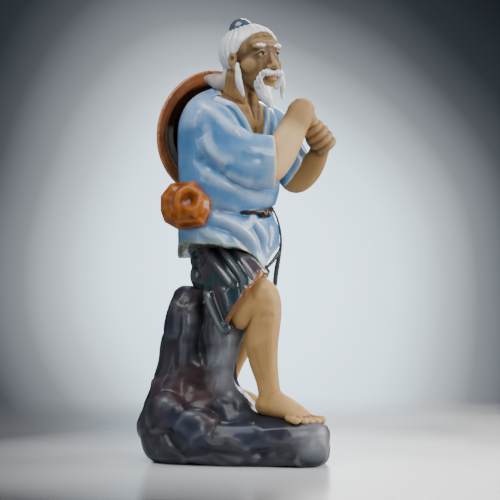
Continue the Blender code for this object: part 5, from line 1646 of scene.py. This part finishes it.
def trouser_masks(mesh):
    """The bare edge of the near leg's opening, and the pale band down the flap."""
    co = positions(mesh) / GRID
    rim = beyond(mesh, np.array(NEAR_TROUSER[-1][:3]) - unit(THIGH_WAY) * 2.0, THIGH_WAY, 1.6)
    rim *= np.clip((co[:, 2] - 78) / 3, 0, 1)
    square = (co[:, 0] - BAND_START[0]) * BAND_SQUARE[0] + (co[:, 2] - BAND_START[1]) * BAND_SQUARE[1]
    strip = np.clip(1.4 - np.abs(square - 1.0) / 1.2, 0, 1)
    strip *= np.clip((93 - co[:, 2]) / 2, 0, 1) * np.clip((-12 - co[:, 1]) / 2, 0, 1) * BAND_STRENGTH
    return {"edge": rim, "trim": strip}


def hat_mask(mesh):
    """1 in the hollow of the hat, fading out towards its brim: the shadow in the hollow, painted in."""
    ahead = hat_way()
    co = positions(mesh) / GRID - HAT_MIDDLE
    out = np.linalg.norm(co - np.outer(co @ ahead, ahead), axis=1)
    hollow = np.clip((normals(mesh) @ ahead) * 2, 0, 1)
    return {"inside": hollow * np.clip((HAT_RADIUS / GRID - BRIM_WIDTH - out) / BRIM_FADE, 0, 1)}


def dress_all():
    clay, blue, white = bare_clay(), blue_glaze(), white_glaze()
    seat = rock()
    # The pale patches are painted highlights.
    masks = {"patch": patches(seat.data, ROCK_RED), "painted_light_and_shade": patches(seat.data, ROCK_HIGHLIGHTS)}
    dress(seat, "rock", rock_glaze(), masks, fine=(10, 0.2), broad=(60, 1.2))
    cloth = robe()
    masks = {"edge": hem_mask(cloth.data), "brush": highlight_strokes(cloth.data, ROBE_HIGHLIGHTS)}
    dress(cloth, "robe", blue, masks)
    dress(collar(), "collar", blue)
    shapes = (NEAR_SLEEVE, NEAR_SLEEVE_WAY), (FAR_SLEEVE, FAR_SLEEVE_WAY)
    for obj, (stations, way) in zip(sleeves(), shapes):
        masks = {"trim": cuff_mask(obj.data, stations, way), "brush": highlight_strokes(obj.data, ROBE_HIGHLIGHTS)}
        dress(obj, obj.name.replace(" ", "_"), blue, masks)
    for obj in [*arms(), *legs()]:
        masks = arm_masks(obj.data, obj.name.startswith("near")) if "arm" in obj.name else {}
        dress(obj, obj.name.replace(" ", "_"), clay, masks, fine=(10, 0.15), broad=(70, 0.8))
    cloth = trousers()
    dress(cloth, "trousers", teal_glaze(), trouser_masks(cloth.data))
    skin = head_skin()
    furrow(skin.data, FURROWS, FURROW_DEPTH)
    dress(skin, "head", clay, face_masks(skin.data), fine=(10, 0.12), broad=(60, 0.6))
    for obj in hair():
        middle = CAP_COMB if obj.name.startswith("hair") else BEARD_COMB
        comb(obj.data, head_at(*middle), head_at(0, 0, 1) - HEAD, STRANDS, STRAND_DEPTH)
        dress(obj, obj.name.replace(" ", "_"), white, fine=(8, 0.1), broad=(50, 0.5))
    dress(bun(), "hair_bun", navy_glaze(), fine=(8, 0.1))
    brim = hat()
    brown = brown_glaze()
    dress(brim, "hat", brown, hat_mask(brim.data))
    dress(pad(), "hat_pad", pale_cloth())
    dress(pouch(), "gourd", amber_glaze(), fine=(8, 0.12))
    belt, ribbon = cords()
    # The belt is dark brown all over, its own colour, through the mask that paints the hat's hollow in
    # shadow.
    dark = np.ones(len(belt.data.vertices))
    dress(belt, "belt", brown, {"inside": dark})
    dress(ribbon, "ribbon", bpy.data.materials["teal_glaze"])


# The camera looks at this place on the grid, from this many metres and degrees above level.
TARGET = (7.9, 0.0, 118.3)
CAMERA_DISTANCE = 1.2
CAMERA_ELEVATION = 1.0
SENSOR_WIDTH = 36.0
MM_PER_PIXEL = 0.5635  # at the target
IMAGE_SIZE = 500


def add_camera():
    data = bpy.data.cameras.new("camera")
    data.sensor_width = SENSOR_WIDTH
    data.lens = SENSOR_WIDTH * CAMERA_DISTANCE * 1000 / (MM_PER_PIXEL * IMAGE_SIZE)
    data.clip_start = 0.05
    data.clip_end = 20
    camera = bpy.data.objects.new("camera", data)
    e = math.radians(CAMERA_ELEVATION)
    target = to_frame(np.array([TARGET]) * GRID)[0]
    away = CAMERA_DISTANCE * HEIGHT / GRID / (BODY_HIGH[2] - BODY_LOW[2])
    camera.location = target + away * np.array((0, -math.cos(e), math.sin(e)))
    camera.rotation_euler = (math.pi / 2 - e, 0, 0)
    bpy.context.scene.collection.objects.link(camera)
    bpy.context.scene.camera = camera


# The lamps: (name, place, width and height, watts, colour), all aimed at one place in the figure.
LAMP_AIM = (0, 0, 0.13)
LAMPS = [
    ("key", (1.0, 0.05, 0.45), (0.6, 0.9), 17, (1.0, 0.97, 0.92)),
    ("front", (0.5, -1.0, 0.65), (0.5, 0.5), 6, (1, 1, 1)),
    ("top", (-0.3, -0.25, 0.95), (0.6, 0.6), 7, (1, 1, 1)),
    ("left", (-0.9, -0.45, 0.35), (0.3, 0.8), 1.6, (0.92, 0.96, 1.0)),
    ("back", (0.2, 0.9, 0.45), (0.4, 0.6), 6, (1, 1, 1)),
]


def add_lamp(name, place, size, power, colour):
    data = bpy.data.lights.new(name, "AREA")
    data.shape = "RECTANGLE"
    data.size, data.size_y = size
    data.energy = power
    data.color = colour
    light = bpy.data.objects.new(name, data)
    light.location = place
    light.rotation_euler = (Vector(LAMP_AIM) - Vector(place)).to_track_quat("-Z", "Y").to_euler()
    bpy.context.scene.collection.objects.link(light)


# The backdrop's glow: a share of its outer radius, and the light given off there.
GLOW = [
    (0.0, (2.0, 2.7, 3.2)),
    (0.20, (1.9, 2.5, 3.0)),
    (0.36, (1.45, 1.9, 2.25)),
    (0.48, (0.70, 0.80, 0.88)),
    (0.58, (0.28, 0.31, 0.34)),
    (0.70, (0.090, 0.10, 0.115)),
    (0.80, (0.034, 0.042, 0.052)),
    (1.0, (0.012, 0.016, 0.020)),
]
# The pool of light on the backdrop leans a little, and is higher than it is wide.
POOL_MIDDLE = (0.015, -0.06, 0)
POOL_LEAN = math.radians(24)
POOL_SHAPE = (0.97, 1.2, 1)
POOL_RADIUS = 0.7

TABLE_RADIUS = 0.60
TABLE_FADE = (0.24, 0.42)  # the table turns see-through between these radii
BACKDROP_HALF = 2.0
BACKDROP_PLACE = (0.0, 2.6, 0.06)
SKY = (0.60, 0.70, 0.78, 1)
SKY_STRENGTH = 0.30


def add_studio():
    """A pale round table that fades out behind, and a far backdrop with a pool of light on it."""
    bm = bmesh.new()
    bmesh.ops.create_circle(bm, cap_ends=True, segments=96, radius=TABLE_RADIUS)
    table = object_from(bm, "table")
    f = Finish("table", 0.24, 0.0)
    # The table's colour is a painted pool of light: pale near the figure, dark further out.
    spot = f.add("ShaderNodeMapping", {"Vector": f.place, "Location": (-0.01, 0, 0)})
    gap = f.add("ShaderNodeVectorMath", {0: spot.outputs[0]}, operation="LENGTH").outputs["Value"]
    f.colour(f.mix(f.span(gap, 0.03, 0.20), (0.82, 0.83, 0.86), (0.10, 0.10, 0.105)))
    gap = f.add("ShaderNodeVectorMath", {0: f.place}, operation="LENGTH").outputs["Value"]
    f.tree.links.new(f.span(gap, *TABLE_FADE, 1.0, 0.0), f.shader.inputs["Alpha"])
    f.rough(f.span(f.noise(9, 2.0), 0.3, 0.7, 0.2, 0.27))
    table.data.materials.append(f.material)
    bm = bmesh.new()
    bmesh.ops.create_grid(bm, x_segments=1, y_segments=1, size=BACKDROP_HALF)
    wall = object_from(bm, "backdrop")
    wall.rotation_euler = (math.pi / 2, 0, 0)
    wall.location = BACKDROP_PLACE
    f = Finish("backdrop", 1.0, 0.0)
    f.shader.inputs["Base Color"].default_value = (0, 0, 0, 1)
    f.shader.inputs["Specular IOR Level"].default_value = 0
    inputs = {"Vector": f.place, "Location": POOL_MIDDLE, "Rotation": (0, 0, POOL_LEAN), "Scale": POOL_SHAPE}
    spot = f.add("ShaderNodeMapping", inputs, vector_type="TEXTURE")
    gap = f.add("ShaderNodeVectorMath", {0: spot.outputs[0]}, operation="LENGTH").outputs["Value"]
    uneven = f.span(f.noise(1.6, 1.0), 0.3, 0.7, -0.03, 0.03)
    ramp = f.add("ShaderNodeValToRGB", {"Fac": f.span(f.sum(gap, uneven), 0.0, POOL_RADIUS)})
    elements = ramp.color_ramp.elements
    while len(elements) < len(GLOW):
        elements.new(0.5)
    for element, (share, colour) in zip(elements, GLOW):
        element.position = share
        element.color = (*colour, 1)
    f.tree.links.new(ramp.outputs[0], f.shader.inputs["Emission Color"])
    f.shader.inputs["Emission Strength"].default_value = 1.0
    wall.data.materials.append(f.material)
    world = bpy.data.worlds.new("studio")
    world.use_nodes = True
    background = world.node_tree.nodes["Background"]
    background.inputs["Color"].default_value = SKY
    background.inputs["Strength"].default_value = SKY_STRENGTH
    bpy.context.scene.world = world
    for lamp in LAMPS:
        add_lamp(*lamp)


add_camera()
add_studio()
dress_all()
